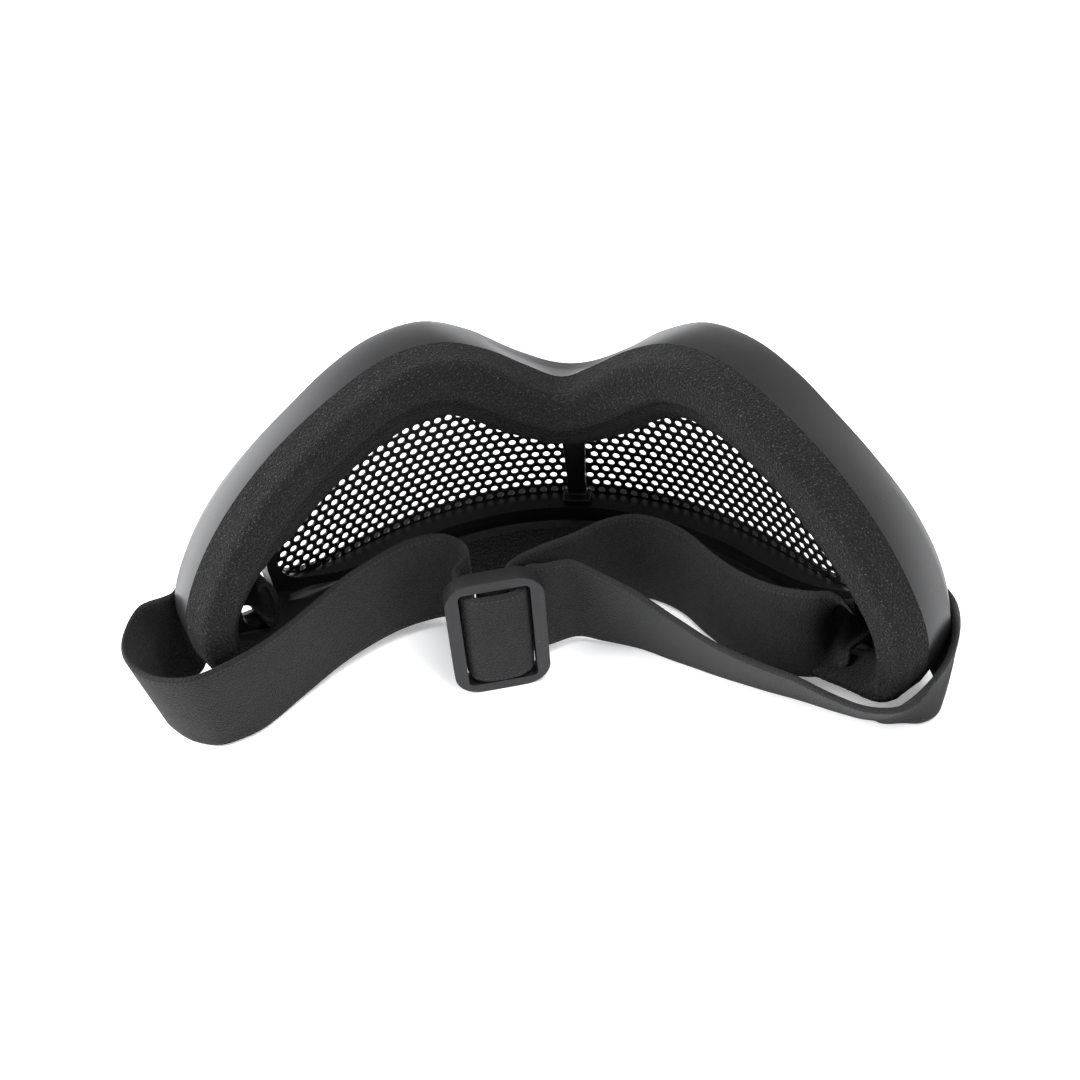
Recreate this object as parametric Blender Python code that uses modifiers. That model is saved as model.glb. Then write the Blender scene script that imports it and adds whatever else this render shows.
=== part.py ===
"""Mesh safety goggles, lying upside down on the brow edge with the face side towards -Y.

Every ring-shaped piece is drawn on the wrap surface, an upright sheet bent round the face:
s runs along it from the centre plane, z is the height, and n is the distance in front of the mesh.
"""
import math
from collections import namedtuple

import bmesh
import bpy
from mathutils import Vector
from mathutils.geometry import delaunay_2d_cdt

# Wrap of the goggles round the face
WRAP_RADIUS = 0.062      # bend radius at the nose
ARM_SLOPE = 1.0          # sideways slope at which the temples run straight
LEAN = 0.08              # backward lean of the upper part, per unit of height
APEX_Y = 0.0085          # mesh plane at the nose, in front of the origin

# Frame
HALF_SPAN = 0.1045       # centre plane to temple end, along the wrap
TEMPLE = 0.0275          # mesh opening to temple end
HEIGHT = 0.0685          # brow edge to the top of a cheek lobe
SHELL_DEPTH = 0.015      # mesh plane to the back flange
FRONT_LIP = 0.002        # front face, in front of the mesh plane
WALL = 0.0024            # moulded wall
DRAFT = 0.008            # most that the outer wall draws in towards the front
SHOULDER = 0.002         # where the outer wall turns into the front face, behind the mesh
LEDGE_DEPTH = 0.006      # brow ledge behind the mesh
GROOVE = 0.0015          # depth of the groove that holds the mesh
LAND = 0.0012            # flat rim outside the groove
EAR_DROP = 0.0085        # how far the temple wall lies back
EAR_LENGTH = 0.025       # start of that step to temple end
EAR_START = HALF_SPAN - EAR_LENGTH
EAR_RAMP = 0.004         # width of the step

# Mesh opening
OPEN_SPAN = HALF_SPAN - TEMPLE             # half width of the opening, along the wrap
SILL = 0.0065            # height of the brow ledge
OPEN_RISE = 0.044        # ledge to the top of the opening

# Mesh sheet
SHEET = 0.0005           # steel sheet
HOLE_PITCH = 0.00792     # spacing of the cut gaps, three real holes apart
HOLE_WIDTH = 0.0052      # width of a cut gap

# Foam
FOAM_DEPTH = 0.008       # foam, from the back flange to the face
BAND = 0.0095            # width of the foam band at the face
FLANGE_SHARE = 0.9       # how much of the foam's spread the flange backs
FOAM_ROUND = 0.0022      # rounding of its face edges
SLOPE_SHARE = 0.28       # how much of the spread is reached where that rounding ends

# Strap, slots and slider
STRAP_WIDTH = 0.025
STRAP_THICK = 0.0013
SLOT_INSET = 0.0190      # slot centre to temple end
SLOT_S = HALF_SPAN - SLOT_INSET
SLOT_Z = 0.0185          # slot centre, height
SLOT_WIDTH = 0.0112
SLOT_HEIGHT = 0.0132
SLOT_ROUND = 0.0035
SLIDER_X = -0.0120       # slider centre from the origin
SLIDER_Y = -0.0475
SLIDER_TURN = 16.0       # degrees
SLIDER_SIDE = 0.0031     # width of its side bars
SLIDER_END = 0.0024      # width of its top and bottom bars
SLIDER_THICK = 0.0036
SLIDER_WINDOW = 0.0148   # width between the side bars
SLIDER_CORNER = 0.0056
SLIDER_EASE = 0.0008     # rounding of its outer edges
WINDOW_CORNER = 0.0012
WINDOW_PLAY = 0.0009     # room above and below the strap
MIDDLE_BAR = 0.0034      # width of the middle bar
MIDDLE_THICK = 0.0014

# Nose bar
BAR_TOP = 0.0066         # width at the notch
BAR_FOOT = 0.0046        # width above the foot
BAR_DEPTH = 0.0026
FOOT_WIDTH = 0.0070
FOOT_DEPTH = 0.0045
FOOT_HEIGHT = 0.0018

GAP = 0.0003             # clearance between pieces that touch
STEPS = 2                # sections between two rows of a table
MERGE = 0.00005

# Outline of the frame from the nose notch round the temple to the middle of the brow.
# outer: shares of HALF_SPAN and HEIGHT. draft: share of DRAFT. band, and spread, its growth towards
# the frame: shares of BAND.
# open: shares of OPEN_SPAN and OPEN_RISE. ledge: share of LEDGE_DEPTH. ear: share of EAR_DROP at the shoulder.
Ring = namedtuple("Ring", "outer_s outer_z draft band spread open_s open_z ledge ear")
RING = (
    Ring(0.000, 0.788, 1.00, 1.05, 0.95, 0.000, 0.716, 0.40, 0.00),
    Ring(0.096, 0.838, 0.93, 1.15, 0.90, 0.100, 0.750, 0.40, 0.00),
    Ring(0.201, 0.918, 0.70, 1.18, 0.78, 0.215, 0.864, 0.40, 0.00),
    Ring(0.316, 0.981, 0.50, 1.08, 0.88, 0.342, 0.966, 0.40, 0.00),
    Ring(0.440, 1.000, 0.60, 1.00, 1.08, 0.475, 1.000, 0.40, 0.00),
    Ring(0.549, 0.978, 0.80, 0.95, 1.18, 0.608, 0.943, 0.40, 0.00),
    Ring(0.660, 0.928, 0.98, 0.92, 1.20, 0.734, 0.830, 0.40, 0.00),
    Ring(0.773, 0.847, 1.00, 0.92, 1.20, 0.848, 0.670, 0.40, 0.00),
    Ring(0.879, 0.721, 0.88, 0.92, 1.12, 0.937, 0.500, 0.40, 0.00),
    Ring(0.958, 0.569, 0.62, 0.86, 0.72, 0.982, 0.375, 0.40, 0.15),
    Ring(1.000, 0.416, 0.30, 0.72, 0.25, 1.000, 0.280, 0.40, 0.45),
    Ring(0.993, 0.250, 0.22, 0.50, 0.05, 0.998, 0.205, 0.40, 0.50),
    Ring(0.950, 0.165, 0.22, 0.32, 0.00, 0.984, 0.139, 0.40, 0.50),
    Ring(0.871, 0.125, 0.18, 0.28, 0.00, 0.952, 0.082, 0.40, 0.45),
    Ring(0.785, 0.075, 0.12, 0.32, 0.00, 0.896, 0.036, 0.50, 0.20),
    Ring(0.679, 0.015, 0.06, 0.60, 0.00, 0.805, 0.009, 0.85, 0.00),
    Ring(0.555, 0.000, 0.00, 0.86, 0.00, 0.700, 0.000, 1.00, 0.00),
    Ring(0.383, 0.000, 0.00, 0.90, 0.00, 0.510, 0.000, 1.00, 0.00),
    Ring(0.191, 0.000, 0.00, 0.90, 0.00, 0.255, 0.000, 1.00, 0.00),
    Ring(0.000, 0.000, 0.00, 0.90, 0.00, 0.000, 0.000, 1.00, 0.00),
)


# The strap's middle line, from its end inside the left slot, round the left temple, along the front,
# through the slider, round the right temple and back through the right slot to the slider.
# roll: half angle, in degrees, of the band's curl across its width.

# Through a slot and over the ear. s: share of SLOT_S. n: share of SHELL_DEPTH. z: share of SLOT_Z.
# lean_y: how far the upper edge leans, per unit of height.
Slot = namedtuple("Slot", "s n z lean_y roll")
SLOT_WAY = (
    Slot(1.00, -0.87, 1.00, 0.00, 130.0),
    Slot(1.00, -0.57, 1.00, 0.00, 130.0),
    Slot(0.998, -0.25, 1.00, 0.00, 124.0),
    Slot(1.03, 0.03, 0.99, 0.00, 104.0),
    Slot(1.08, 0.16, 0.94, 0.00, 72.0),
    Slot(1.145, 0.10, 0.86, 0.00, 38.0),
    Slot(1.19, -0.18, 0.77, 0.00, 10.0),
)

# Free runs. x, y: shares of the temple end's place. z: share of half the strap's width.
# lean_x, lean_y: how far the upper edge leans, per unit of height.
Free = namedtuple("Free", "x y z lean_x lean_y roll")
LEFT_LOOP = (
    Free(-1.000, 1.120, 1.08, 0.00, 0.00, 1.0),
    Free(-1.015, 1.225, 1.04, 0.00, -0.04, 0.0),
    Free(-1.003, 1.330, 1.01, -0.03, -0.08, 0.0),
    Free(-0.965, 1.405, 1.00, -0.04, -0.14, 0.0),
    Free(-0.915, 1.450, 0.99, 0.00, -0.17, 0.0),
    Free(-0.863, 1.466, 0.99, 0.00, -0.16, 0.0),
    Free(-0.814, 1.460, 0.99, 0.00, -0.13, 0.0),
    Free(-0.763, 1.411, 1.00, 0.03, -0.09, 0.0),
)
LEFT_FRONT = (
    Free(-0.719, 1.347, 1.00, 0.05, -0.06, 0.0),
    Free(-0.678, 1.260, 1.00, 0.07, -0.07, 0.0),
    Free(-0.639, 1.175, 1.04, 0.08, -0.08, 0.0),
    Free(-0.598, 1.085, 1.09, 0.08, -0.08, 0.0),
    Free(-0.557, 0.992, 1.14, 0.07, -0.07, 0.0),
    Free(-0.512, 0.902, 1.18, 0.05, -0.05, 0.0),
    Free(-0.435, 0.775, 1.21, 0.03, -0.03, 0.0),
    Free(-0.368, 0.695, 1.22, 0.00, 0.00, 0.0),
    Free(-0.301, 0.665, 1.24, 0.00, 0.00, 0.0),
    Free(-0.246, 0.712, 1.27, 0.00, 0.00, 0.0),
    Free(-0.222, 0.800, 1.29, 0.00, 0.00, 0.0),
)
RIGHT_FRONT = (
    Free(0.104, 0.800, 1.14, 0.00, -0.09, 0.0),
    Free(0.201, 0.845, 1.03, 0.00, -0.27, 0.0),
    Free(0.301, 0.950, 0.92, 0.00, -0.44, 0.0),
    Free(0.401, 1.050, 0.88, -0.02, -0.56, 0.0),
    Free(0.495, 1.125, 0.85, -0.05, -0.61, 0.0),
    Free(0.586, 1.187, 0.84, -0.08, -0.65, 0.0),
    Free(0.677, 1.260, 0.80, -0.12, -0.72, 0.0),
    Free(0.740, 1.298, 0.78, -0.08, -0.76, 0.0),
)
RIGHT_LOOP = (
    Free(0.795, 1.295, 0.80, 0.00, -0.72, 0.0),
    Free(0.846, 1.252, 0.90, 0.05, -0.45, 0.0),
    Free(0.893, 1.200, 1.00, 0.05, -0.20, 0.0),
    Free(0.924, 1.125, 1.07, 0.02, -0.05, 3.0),
)
INNER = (
    Free(0.680, 0.980, 1.56, 0.00, 0.00, 114.0),
    Free(0.652, 1.010, 1.60, 0.00, 0.00, 92.0),
    Free(0.612, 1.035, 1.62, 0.00, 0.00, 52.0),
    Free(0.565, 1.010, 1.50, 0.00, 0.00, 20.0),
    Free(0.510, 0.930, 1.29, 0.00, 0.00, 4.0),
    Free(0.435, 0.805, 1.09, 0.00, 0.00, 0.0),
    Free(0.372, 0.680, 1.02, 0.00, 0.00, 0.0),
    Free(0.313, 0.555, 1.02, 0.00, 0.00, 0.0),
    Free(0.248, 0.475, 1.02, 0.00, 0.00, 0.0),
    Free(0.175, 0.442, 1.02, 0.00, 0.00, 0.0),
    Free(0.098, 0.500, 1.06, 0.00, 0.00, 0.0),
    Free(0.030, 0.618, 1.15, 0.00, 0.00, 0.0),
    Free(-0.041, 0.728, 1.26, 0.00, 0.00, 0.0),
)

# In the slider. bar: share of half the middle bar's width, to the right of its middle.
# across, front: strap thicknesses, to the right of that and in front of the middle bar's front face.
Buckle = namedtuple("Buckle", "bar across front")
FRONT_PASS = (
    Buckle(-1.0, -3.60, -5.60),
    Buckle(-1.0, -3.35, -2.60),
    Buckle(-1.0, -3.30, -0.60),
    Buckle(-1.0, -2.85, 0.85),
    Buckle(-1.0, -1.55, 1.80),
    Buckle(0.0, 0.00, 2.05),
    Buckle(1.0, 1.55, 1.80),
    Buckle(1.0, 2.85, 0.85),
    Buckle(1.0, 3.30, -0.60),
    Buckle(1.0, 3.62, -2.30),
    Buckle(1.0, 5.00, -3.50),
    Buckle(1.0, 7.40, -4.20),
    Buckle(1.0, 12.5, -5.80),
)
BAR_WRAP = (
    Buckle(1.0, 2.77, -5.38),
    Buckle(1.0, 0.95, -2.20),
    Buckle(1.0, 0.72, -0.50),
    Buckle(1.0, 0.45, 0.45),
    Buckle(0.0, 0.00, 0.80),
    Buckle(-1.0, -0.45, 0.45),
    Buckle(-1.0, -0.72, -0.50),
    Buckle(-1.0, -0.70, -1.90),
    Buckle(0.0, -0.45, -3.30),
)
ACROSS = 7               # points across the band


def clear_scene():
    """Remove every object of the open scene."""
    for thing in list(bpy.data.objects):
        bpy.data.objects.remove(thing, do_unlink=True)


def collection(name):
    """Make a collection under the scene's own."""
    made = bpy.data.collections.new(name)
    bpy.context.scene.collection.children.link(made)
    return made


def material(name, colour, roughness, metallic=0.0):
    """Make a plain Principled material."""
    made = bpy.data.materials.new(name)
    made.use_nodes = True
    shader = made.node_tree.nodes["Principled BSDF"]
    shader.inputs["Base Color"].default_value = (*colour, 1.0)
    shader.inputs["Roughness"].default_value = roughness
    shader.inputs["Metallic"].default_value = metallic
    return made


def smooth_step(share):
    """Ease from 0 to 1."""
    share = min(max(share, 0.0), 1.0)
    return share * share * (3.0 - 2.0 * share)


def wrap(s, z, n):
    """Place a point of the wrap surface in space."""
    run = min(abs(s), WRAP_RADIUS * ARM_SLOPE)
    beyond = abs(s) - run
    turn = math.atan2(run, WRAP_RADIUS)
    out = n - LEAN * z
    x = WRAP_RADIUS * math.asinh(run / WRAP_RADIUS) + beyond * math.cos(turn) + out * math.sin(turn)
    y = APEX_Y + WRAP_RADIUS - math.hypot(WRAP_RADIUS, run) - beyond * math.sin(turn) + out * math.cos(turn)
    return Vector((math.copysign(x, s) if s else 0.0, y, z))


def curve_through(rows, steps, place):
    """Run a smooth curve through the rows, whose first and last only steer it.

    place is how many leading columns are a position, which sets the curve's pace.
    """
    reach = [0.0]
    for here, there in zip(rows, rows[1:]):
        reach.append(reach[-1] + math.dist(here[:place], there[:place]))
    pull = [None]
    for i in range(1, len(rows) - 1):
        span = reach[i + 1] - reach[i - 1]
        pull.append([(b - a) / span for a, b in zip(rows[i - 1], rows[i + 1])])
    found = []
    for i in range(1, len(rows) - 2):
        length = reach[i + 1] - reach[i]
        for k in range(steps):
            u = k / steps
            start = 2 * u ** 3 - 3 * u ** 2 + 1
            leave = (u ** 3 - 2 * u ** 2 + u) * length
            arrive = (u ** 3 - u ** 2) * length
            found.append([
                start * a + leave * da + (1 - start) * b + arrive * db
                for a, b, da, db in zip(rows[i], rows[i + 1], pull[i], pull[i + 1])
            ])
    found.append(list(rows[-2]))
    return found


def inward(points):
    """Give the direction into the ring at each point of an outline, which runs clockwise from x = 0 to x = 0."""
    first, last = points[1], points[-2]
    steered = [Vector((-first.x, first.y)), *points, Vector((-last.x, last.y))]
    found = []
    for before, after in zip(steered, steered[2:]):
        along = (after - before).normalized()
        found.append(Vector((along.y, -along.x)))
    return found


Station = namedtuple("Station", "outer open outer_in open_in draft band spread ledge ear")


def ring_stations():
    """Turn the outline table into stations from the nose notch to the middle of the brow."""
    rows = []
    for row in RING:
        rows.append((
            row.outer_s * HALF_SPAN,
            row.outer_z * HEIGHT,
            row.open_s * OPEN_SPAN,
            SILL + row.open_z * OPEN_RISE,
            row.draft * DRAFT,
            row.band * BAND,
            row.spread * BAND,
            row.ledge * LEDGE_DEPTH,
            row.ear * EAR_DROP,
        ))
    mirrored = [(-row[0], row[1], -row[2], *row[3:]) for row in (rows[1], rows[-2])]
    rows = curve_through([mirrored[0], *rows, mirrored[1]], STEPS, place=2)
    outer = [Vector((row[0], max(row[1], 0.0))) for row in rows]
    opening = [Vector(row[2:4]) for row in rows]
    stations = []
    for row, *places in zip(rows, outer, opening, inward(outer), inward(opening)):
        stations.append(Station(*places, max(row[4], 0.0), *row[5:]))
    return stations


def recess(s):
    """How far the wall lies back at the temple ear."""
    return EAR_DROP * smooth_step((s - EAR_START) / EAR_RAMP)


def frame_section(station):
    """Give the frame's section at one station as points on the wrap surface."""
    outer, opening = station.outer, station.open
    shoulder = outer + station.outer_in * station.draft
    wall = min(WALL, station.band / 2)
    inner_shoulder = shoulder + station.outer_in * wall
    flange_root = outer + station.outer_in * wall
    flange_edge = outer + station.outer_in * (station.band + station.spread * FLANGE_SHARE)
    groove = opening - station.open_in * GROOVE
    land = opening - station.open_in * (GROOVE + LAND)
    slit = SHEET / 2 + GAP + MERGE
    rise = [shoulder.lerp(land, share) for share in (0.10, 0.25, 0.60, 0.85)]
    behind = [inner_shoulder.lerp(land, share) for share in (0.0, 0.45, 0.80)]
    back = -station.ledge
    points = [
        (outer, -SHELL_DEPTH),
        (shoulder, -SHOULDER - station.ear),
        (rise[0], FRONT_LIP - WALL / 2 - station.ear),
        (rise[1], FRONT_LIP - recess(rise[1].x)),
        (rise[2], FRONT_LIP - recess(rise[2].x)),
        (rise[3], FRONT_LIP - recess(rise[3].x)),
        (land, FRONT_LIP),
        (opening, FRONT_LIP),
        (opening, slit),
        (groove, slit),
        (groove, -slit),
        (opening, -slit),
        (opening, back),
        (land, back),
        (behind[2], back - recess(behind[2].x)),
        (behind[1], back - recess(behind[1].x)),
        (behind[0], back - recess(behind[0].x)),
        (flange_root, WALL - SHELL_DEPTH),
        (flange_edge, WALL - SHELL_DEPTH),
        (flange_edge, -SHELL_DEPTH),
    ]
    return [wrap(place.x, place.y, n) for place, n in points]


def foam_section(station):
    """Give the foam's section at one station, with its face edges rounded."""
    outer = station.outer + station.outer_in * GAP
    width = station.band - GAP
    ease = min(FOAM_ROUND, width * 0.4)
    root = -SHELL_DEPTH - GAP
    face = -SHELL_DEPTH - FOAM_DEPTH
    places = (
        (0.0, root),
        (0.0, face + ease),
        (ease * 0.3, face + ease * 0.3),
        (ease, face),
        (width - ease, face),
        (width - ease * 0.3, face + ease * 0.3),
        (width + station.spread * SLOPE_SHARE, face + ease),
        (width + station.spread, root),
    )
    found = []
    for share, n in places:
        place = outer + station.outer_in * share
        found.append(wrap(place.x, place.y, n))
    return found


def loft(name, sections, capped=False):
    """Join equal sections, each a closed loop of points, into a skin."""
    build = bmesh.new()
    loops = [[build.verts.new(point) for point in section] for section in sections]
    for here, there in zip(loops, loops[1:]):
        for k in range(len(here)):
            after = (k + 1) % len(here)
            build.faces.new((here[k], here[after], there[after], there[k]))
    if capped:
        build.faces.new(loops[0])
        build.faces.new(loops[-1])
    bmesh.ops.recalc_face_normals(build, faces=build.faces)
    mesh = bpy.data.meshes.new(name)
    build.to_mesh(mesh)
    build.free()
    return bpy.data.objects.new(name, mesh)


def rounded_block(name, size, corner, segments):
    """Make a block whose four edges along Y are rounded."""
    build = bmesh.new()
    bmesh.ops.create_cube(build, size=1.0)
    bmesh.ops.scale(build, vec=size, verts=build.verts)
    upright = [edge for edge in build.edges if abs(edge.verts[0].co.y - edge.verts[1].co.y) > size[1] / 2]
    bmesh.ops.bevel(build, geom=upright, offset=corner, segments=segments, profile=0.5, affect="EDGES")
    mesh = bpy.data.meshes.new(name)
    build.to_mesh(mesh)
    build.free()
    return bpy.data.objects.new(name, mesh)


def boolean(thing, other, operation):
    """Cut or join a mesh with another."""
    step = thing.modifiers.new(operation.title(), "BOOLEAN")
    step.operation = operation
    step.object = other
    step.solver = "EXACT"


def finish(thing, parts, paint, parent, angle=35.0):
    """Put a piece in the collection with its material and smooth shading."""
    parts.objects.link(thing)
    thing.parent = parent
    thing.data.materials.append(paint)
    thing.data.shade_smooth()
    thing.data.set_sharp_from_angle(angle=math.radians(angle))
    return thing


def as_cutter(thing, cutters):
    """Keep a helper out of the model."""
    cutters.objects.link(thing)
    thing.hide_render = True
    thing.display_type = "WIRE"
    return thing


def mirror(thing):
    """Complete a half that is open at the centre plane."""
    step = thing.modifiers.new("Mirror", "MIRROR")
    step.use_axis = (True, False, False)
    step.merge_threshold = MERGE
    return step


def make_frame(stations, cutters):
    """The moulded shell with a slot in each temple ear."""
    thing = loft("frame", [frame_section(station) for station in stations])
    mirror(thing)
    depth = SHELL_DEPTH - WALL - GAP + EAR_DROP
    middle = -SHELL_DEPTH + WALL + GAP + depth / 2
    for side in (-1, 1):
        cutter = rounded_block("slot_cutter", (SLOT_WIDTH, depth, SLOT_HEIGHT), SLOT_ROUND, 3)
        cutter.location = wrap(side * SLOT_S, SLOT_Z, middle)
        cutter.rotation_euler = (0.0, 0.0, -side * math.atan(ARM_SLOPE))
        boolean(thing, as_cutter(cutter, cutters), "DIFFERENCE")
    return thing


def make_foam(stations):
    """The soft ring on the face side of the frame."""
    thing = loft("foam_pad", [foam_section(station) for station in stations])
    mirror(thing)
    return thing


def inside(point, outline):
    """Tell whether a point lies inside a closed outline."""
    crossings = 0
    for a, b in zip(outline, outline[1:] + outline[:1]):
        if (a.y > point.y) != (b.y > point.y):
            if point.x < a.x + (point.y - a.y) * (b.x - a.x) / (b.y - a.y):
                crossings += 1
    return crossings % 2 == 1


def hole_centres(outline):
    """Give the centres of the gaps, in rows set half a pitch apart."""
    centres = []
    row_step = HOLE_PITCH * math.sqrt(3) / 2
    row = 0
    while (row + 0.5) * row_step < OPEN_RISE:
        z = SILL + (row + 0.5) * row_step
        shift = 0.5 if row % 2 == 0 else 0.0
        across = math.ceil(OPEN_SPAN / HOLE_PITCH)
        for k in range(-across - 1, across + 1):
            centre = Vector(((k + shift) * HOLE_PITCH, z))
            if inside(centre, outline) and min((centre - point).length for point in outline) > HOLE_PITCH / 2:
                centres.append(centre)
        row += 1
    return centres


def make_mesh_lens(stations):
    """The pierced steel sheet, laid out flat and then bent to the wrap."""
    reach = GROOVE - GAP
    edge = [station.open - station.open_in * reach for station in stations]
    opening = [station.open for station in stations]
    outline, opening = [half + [Vector((-point.x, point.y)) for point in reversed(half[1:-1])]
                        for half in (edge, opening)]
    loops = [outline]
    for centre in hole_centres(opening):
        corners = [math.radians(60 * k + 30) for k in range(6)]
        radius = HOLE_WIDTH / math.sqrt(3)
        loops.append([centre + radius * Vector((math.cos(a), math.sin(a))) for a in corners])
    points = [point for loop in loops for point in loop]
    owner = [k for k, loop in enumerate(loops) for _ in loop]
    steel = []
    for face in delaunay_2d_cdt(points, [], [], 0, MERGE / 100, False)[2]:
        owners = {owner[k] for k in face}
        middle = sum((points[k] for k in face), Vector((0.0, 0.0))) / 3
        over_hole = len(owners) == 1 and owners != {0}
        if not over_hole and inside(middle, outline):
            steel.append(face)
    mesh = bpy.data.meshes.new("mesh_lens")
    mesh.from_pydata([wrap(*point, 0.0) for point in points], [], steel)
    thing = bpy.data.objects.new("mesh_lens", mesh)
    sheet = thing.modifiers.new("Sheet", "SOLIDIFY")
    sheet.thickness = SHEET
    sheet.offset = 0.0
    return thing


def make_nose_bar(stations):
    """The bar behind the middle of the mesh, its foot on the brow ledge."""
    front = -(SHEET / 2 + 2 * GAP)
    foot = SILL + GAP
    top = stations[0].open.y - GAP
    rows = (
        (foot, FOOT_WIDTH, FOOT_DEPTH),
        (foot + FOOT_HEIGHT, FOOT_WIDTH, FOOT_DEPTH),
        (foot + FOOT_HEIGHT + MERGE, BAR_FOOT, BAR_DEPTH),
        (top, BAR_TOP, BAR_DEPTH),
    )
    sections = []
    for z, width, depth in rows:
        corners = ((-0.5, 0.0), (0.5, 0.0), (0.5, -1.0), (-0.5, -1.0))
        sections.append([wrap(a * width, z, front + b * depth) for a, b in corners])
    return loft("nose_bar", sections, capped=True)


def make_slider(cutters):
    """The buckle: a rounded plate with a window and a middle bar."""
    window = STRAP_WIDTH + 2 * WINDOW_PLAY
    height = window + 2 * SLIDER_END
    width = SLIDER_WINDOW + 2 * SLIDER_SIDE
    thing = rounded_block("slider", (width, SLIDER_THICK, height), SLIDER_CORNER, 5)
    ease = thing.modifiers.new("Ease", "BEVEL")
    ease.width = SLIDER_EASE
    ease.segments = 2
    ease.limit_method = "ANGLE"
    ease.angle_limit = math.radians(60)
    hole = rounded_block("window_cutter", (SLIDER_WINDOW, 2 * SLIDER_THICK, window), WINDOW_CORNER, 3)
    boolean(thing, as_cutter(hole, cutters), "DIFFERENCE")
    bar = rounded_block(
        "middle_bar", (MIDDLE_BAR, MIDDLE_THICK - MERGE, window + SLIDER_END), MIDDLE_THICK / 8, 1)
    bar.location.y = (SLIDER_THICK - MIDDLE_THICK - MERGE) / 2
    boolean(thing, as_cutter(bar, cutters), "UNION")
    place = (SLIDER_X, SLIDER_Y, height / 2)
    for piece in (thing, hole):
        piece.location = place
        piece.rotation_euler.z = math.radians(SLIDER_TURN)
    bar.rotation_euler.z = math.radians(SLIDER_TURN)
    bar.location = Vector(place) + bar.rotation_euler.to_matrix() @ bar.location
    return thing


def slot_rows(side, ways):
    """Strap rows through a slot, as place, lean and roll."""
    found = []
    for way in ways:
        centre = wrap(side * way.s * SLOT_S, way.z * SLOT_Z, way.n * SHELL_DEPTH)
        found.append((*centre, 0.0, way.lean_y, way.roll))
    return found


def free_rows(ways):
    """Strap rows off the frame."""
    reach = wrap(HALF_SPAN, 0.0, 0.0)
    return [
        (way.x * reach.x, way.y * reach.y, way.z * STRAP_WIDTH / 2, way.lean_x, way.lean_y, way.roll)
        for way in ways
    ]


def buckle_rows(ways):
    """Strap rows in the slider."""
    turn = math.radians(SLIDER_TURN)
    right = Vector((math.cos(turn), math.sin(turn)))
    front = Vector((math.sin(turn), -math.cos(turn)))
    height = STRAP_WIDTH / 2 + WINDOW_PLAY + SLIDER_END
    found = []
    for way in ways:
        across = way.bar * MIDDLE_BAR / 2 + way.across * STRAP_THICK
        ahead = MIDDLE_THICK - SLIDER_THICK / 2 + way.front * STRAP_THICK
        place = Vector((SLIDER_X, SLIDER_Y)) + right * across + front * ahead
        found.append((*place, height, 0.0, 0.0, 0.0))
    return found


def strap_section(centre, along, lean, roll):
    """Give the band's section: flat, or curled round the direction in which it runs."""
    up = Vector((lean[0], lean[1], 1.0))
    up = (up - along * up.dot(along)).normalized()
    out = along.cross(up)
    half = max(math.radians(roll), math.radians(1.0))
    radius = STRAP_WIDTH / (2 * half)
    depth = radius * (1 - math.cos(half))
    sides = ([], [])
    for k in range(ACROSS):
        turn = half * (2 * k / (ACROSS - 1) - 1)
        away = up * math.sin(turn) + out * math.cos(turn)
        spine = centre + away * radius + out * (depth / 2 - radius)
        sides[0].append(spine + away * STRAP_THICK / 2)
        sides[1].append(spine - away * STRAP_THICK / 2)
    return sides[0] + sides[1][::-1]


def make_strap():
    """One elastic band, from its end in the left slot to its end at the slider's middle bar."""
    rows = slot_rows(-1, SLOT_WAY)
    rows += free_rows(LEFT_LOOP + LEFT_FRONT)
    rows += buckle_rows(FRONT_PASS)
    rows += free_rows(RIGHT_FRONT + RIGHT_LOOP)
    rows += slot_rows(1, SLOT_WAY[::-1])
    rows += free_rows(INNER)
    rows += buckle_rows(BAR_WRAP)
    before = [2 * a - b for a, b in zip(rows[0], rows[1])]
    after = [2 * a - b for a, b in zip(rows[-1], rows[-2])]
    rows = curve_through([before, *rows, after], STEPS, place=3)
    places = [Vector(row[0:3]) for row in rows]
    steered = [places[0] * 2 - places[1], *places, places[-1] * 2 - places[-2]]
    sections = []
    for i, row in enumerate(rows):
        along = steered[i + 2] - steered[i]
        level = Vector((along.x, along.y, 0.0)).normalized()
        section = strap_section(places[i], level, row[3:5], row[5])
        lift = max(0.0, -min(point.z for point in section))
        sections.append([point + Vector((0.0, 0.0, lift)) for point in section])
    return loft("strap", sections, capped=True)


def main():
    """Build the goggles."""
    clear_scene()
    parts = collection("mesh_safety_goggles")
    cutters = collection("cutters")
    goggles = bpy.data.objects.new("goggles", None)
    parts.objects.link(goggles)
    shell = material("satin_black_plastic", (0.028, 0.028, 0.030), 0.42)
    steel = material("black_steel", (0.020, 0.020, 0.022), 0.50, metallic=0.6)
    soft = material("dark_foam", (0.035, 0.036, 0.038), 0.95)
    webbing = material("black_elastic", (0.045, 0.046, 0.048), 0.90)
    buckle = material("matt_black_plastic", (0.050, 0.050, 0.052), 0.60)
    stations = ring_stations()
    finish(make_frame(stations, cutters), parts, shell, goggles)
    finish(make_mesh_lens(stations), parts, steel, goggles)
    finish(make_nose_bar(stations), parts, shell, goggles)
    finish(make_foam(stations), parts, soft, goggles)
    finish(make_strap(), parts, webbing, goggles)
    finish(make_slider(cutters), parts, buckle, goggles)


main()
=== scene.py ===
"""Mesh safety goggles lying upside down on a pale floor, face side to the viewer.

The ring-shaped pieces are drawn on the wrap, an upright sheet bent round the face: s runs along it
from the centre plane, z is the height, and n is the distance in front of the mesh.
"""
import math
from collections import namedtuple
from functools import partial

import bmesh
import bpy
from mathutils import Euler, Matrix, Vector, noise
from mathutils.geometry import delaunay_2d_cdt


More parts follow.
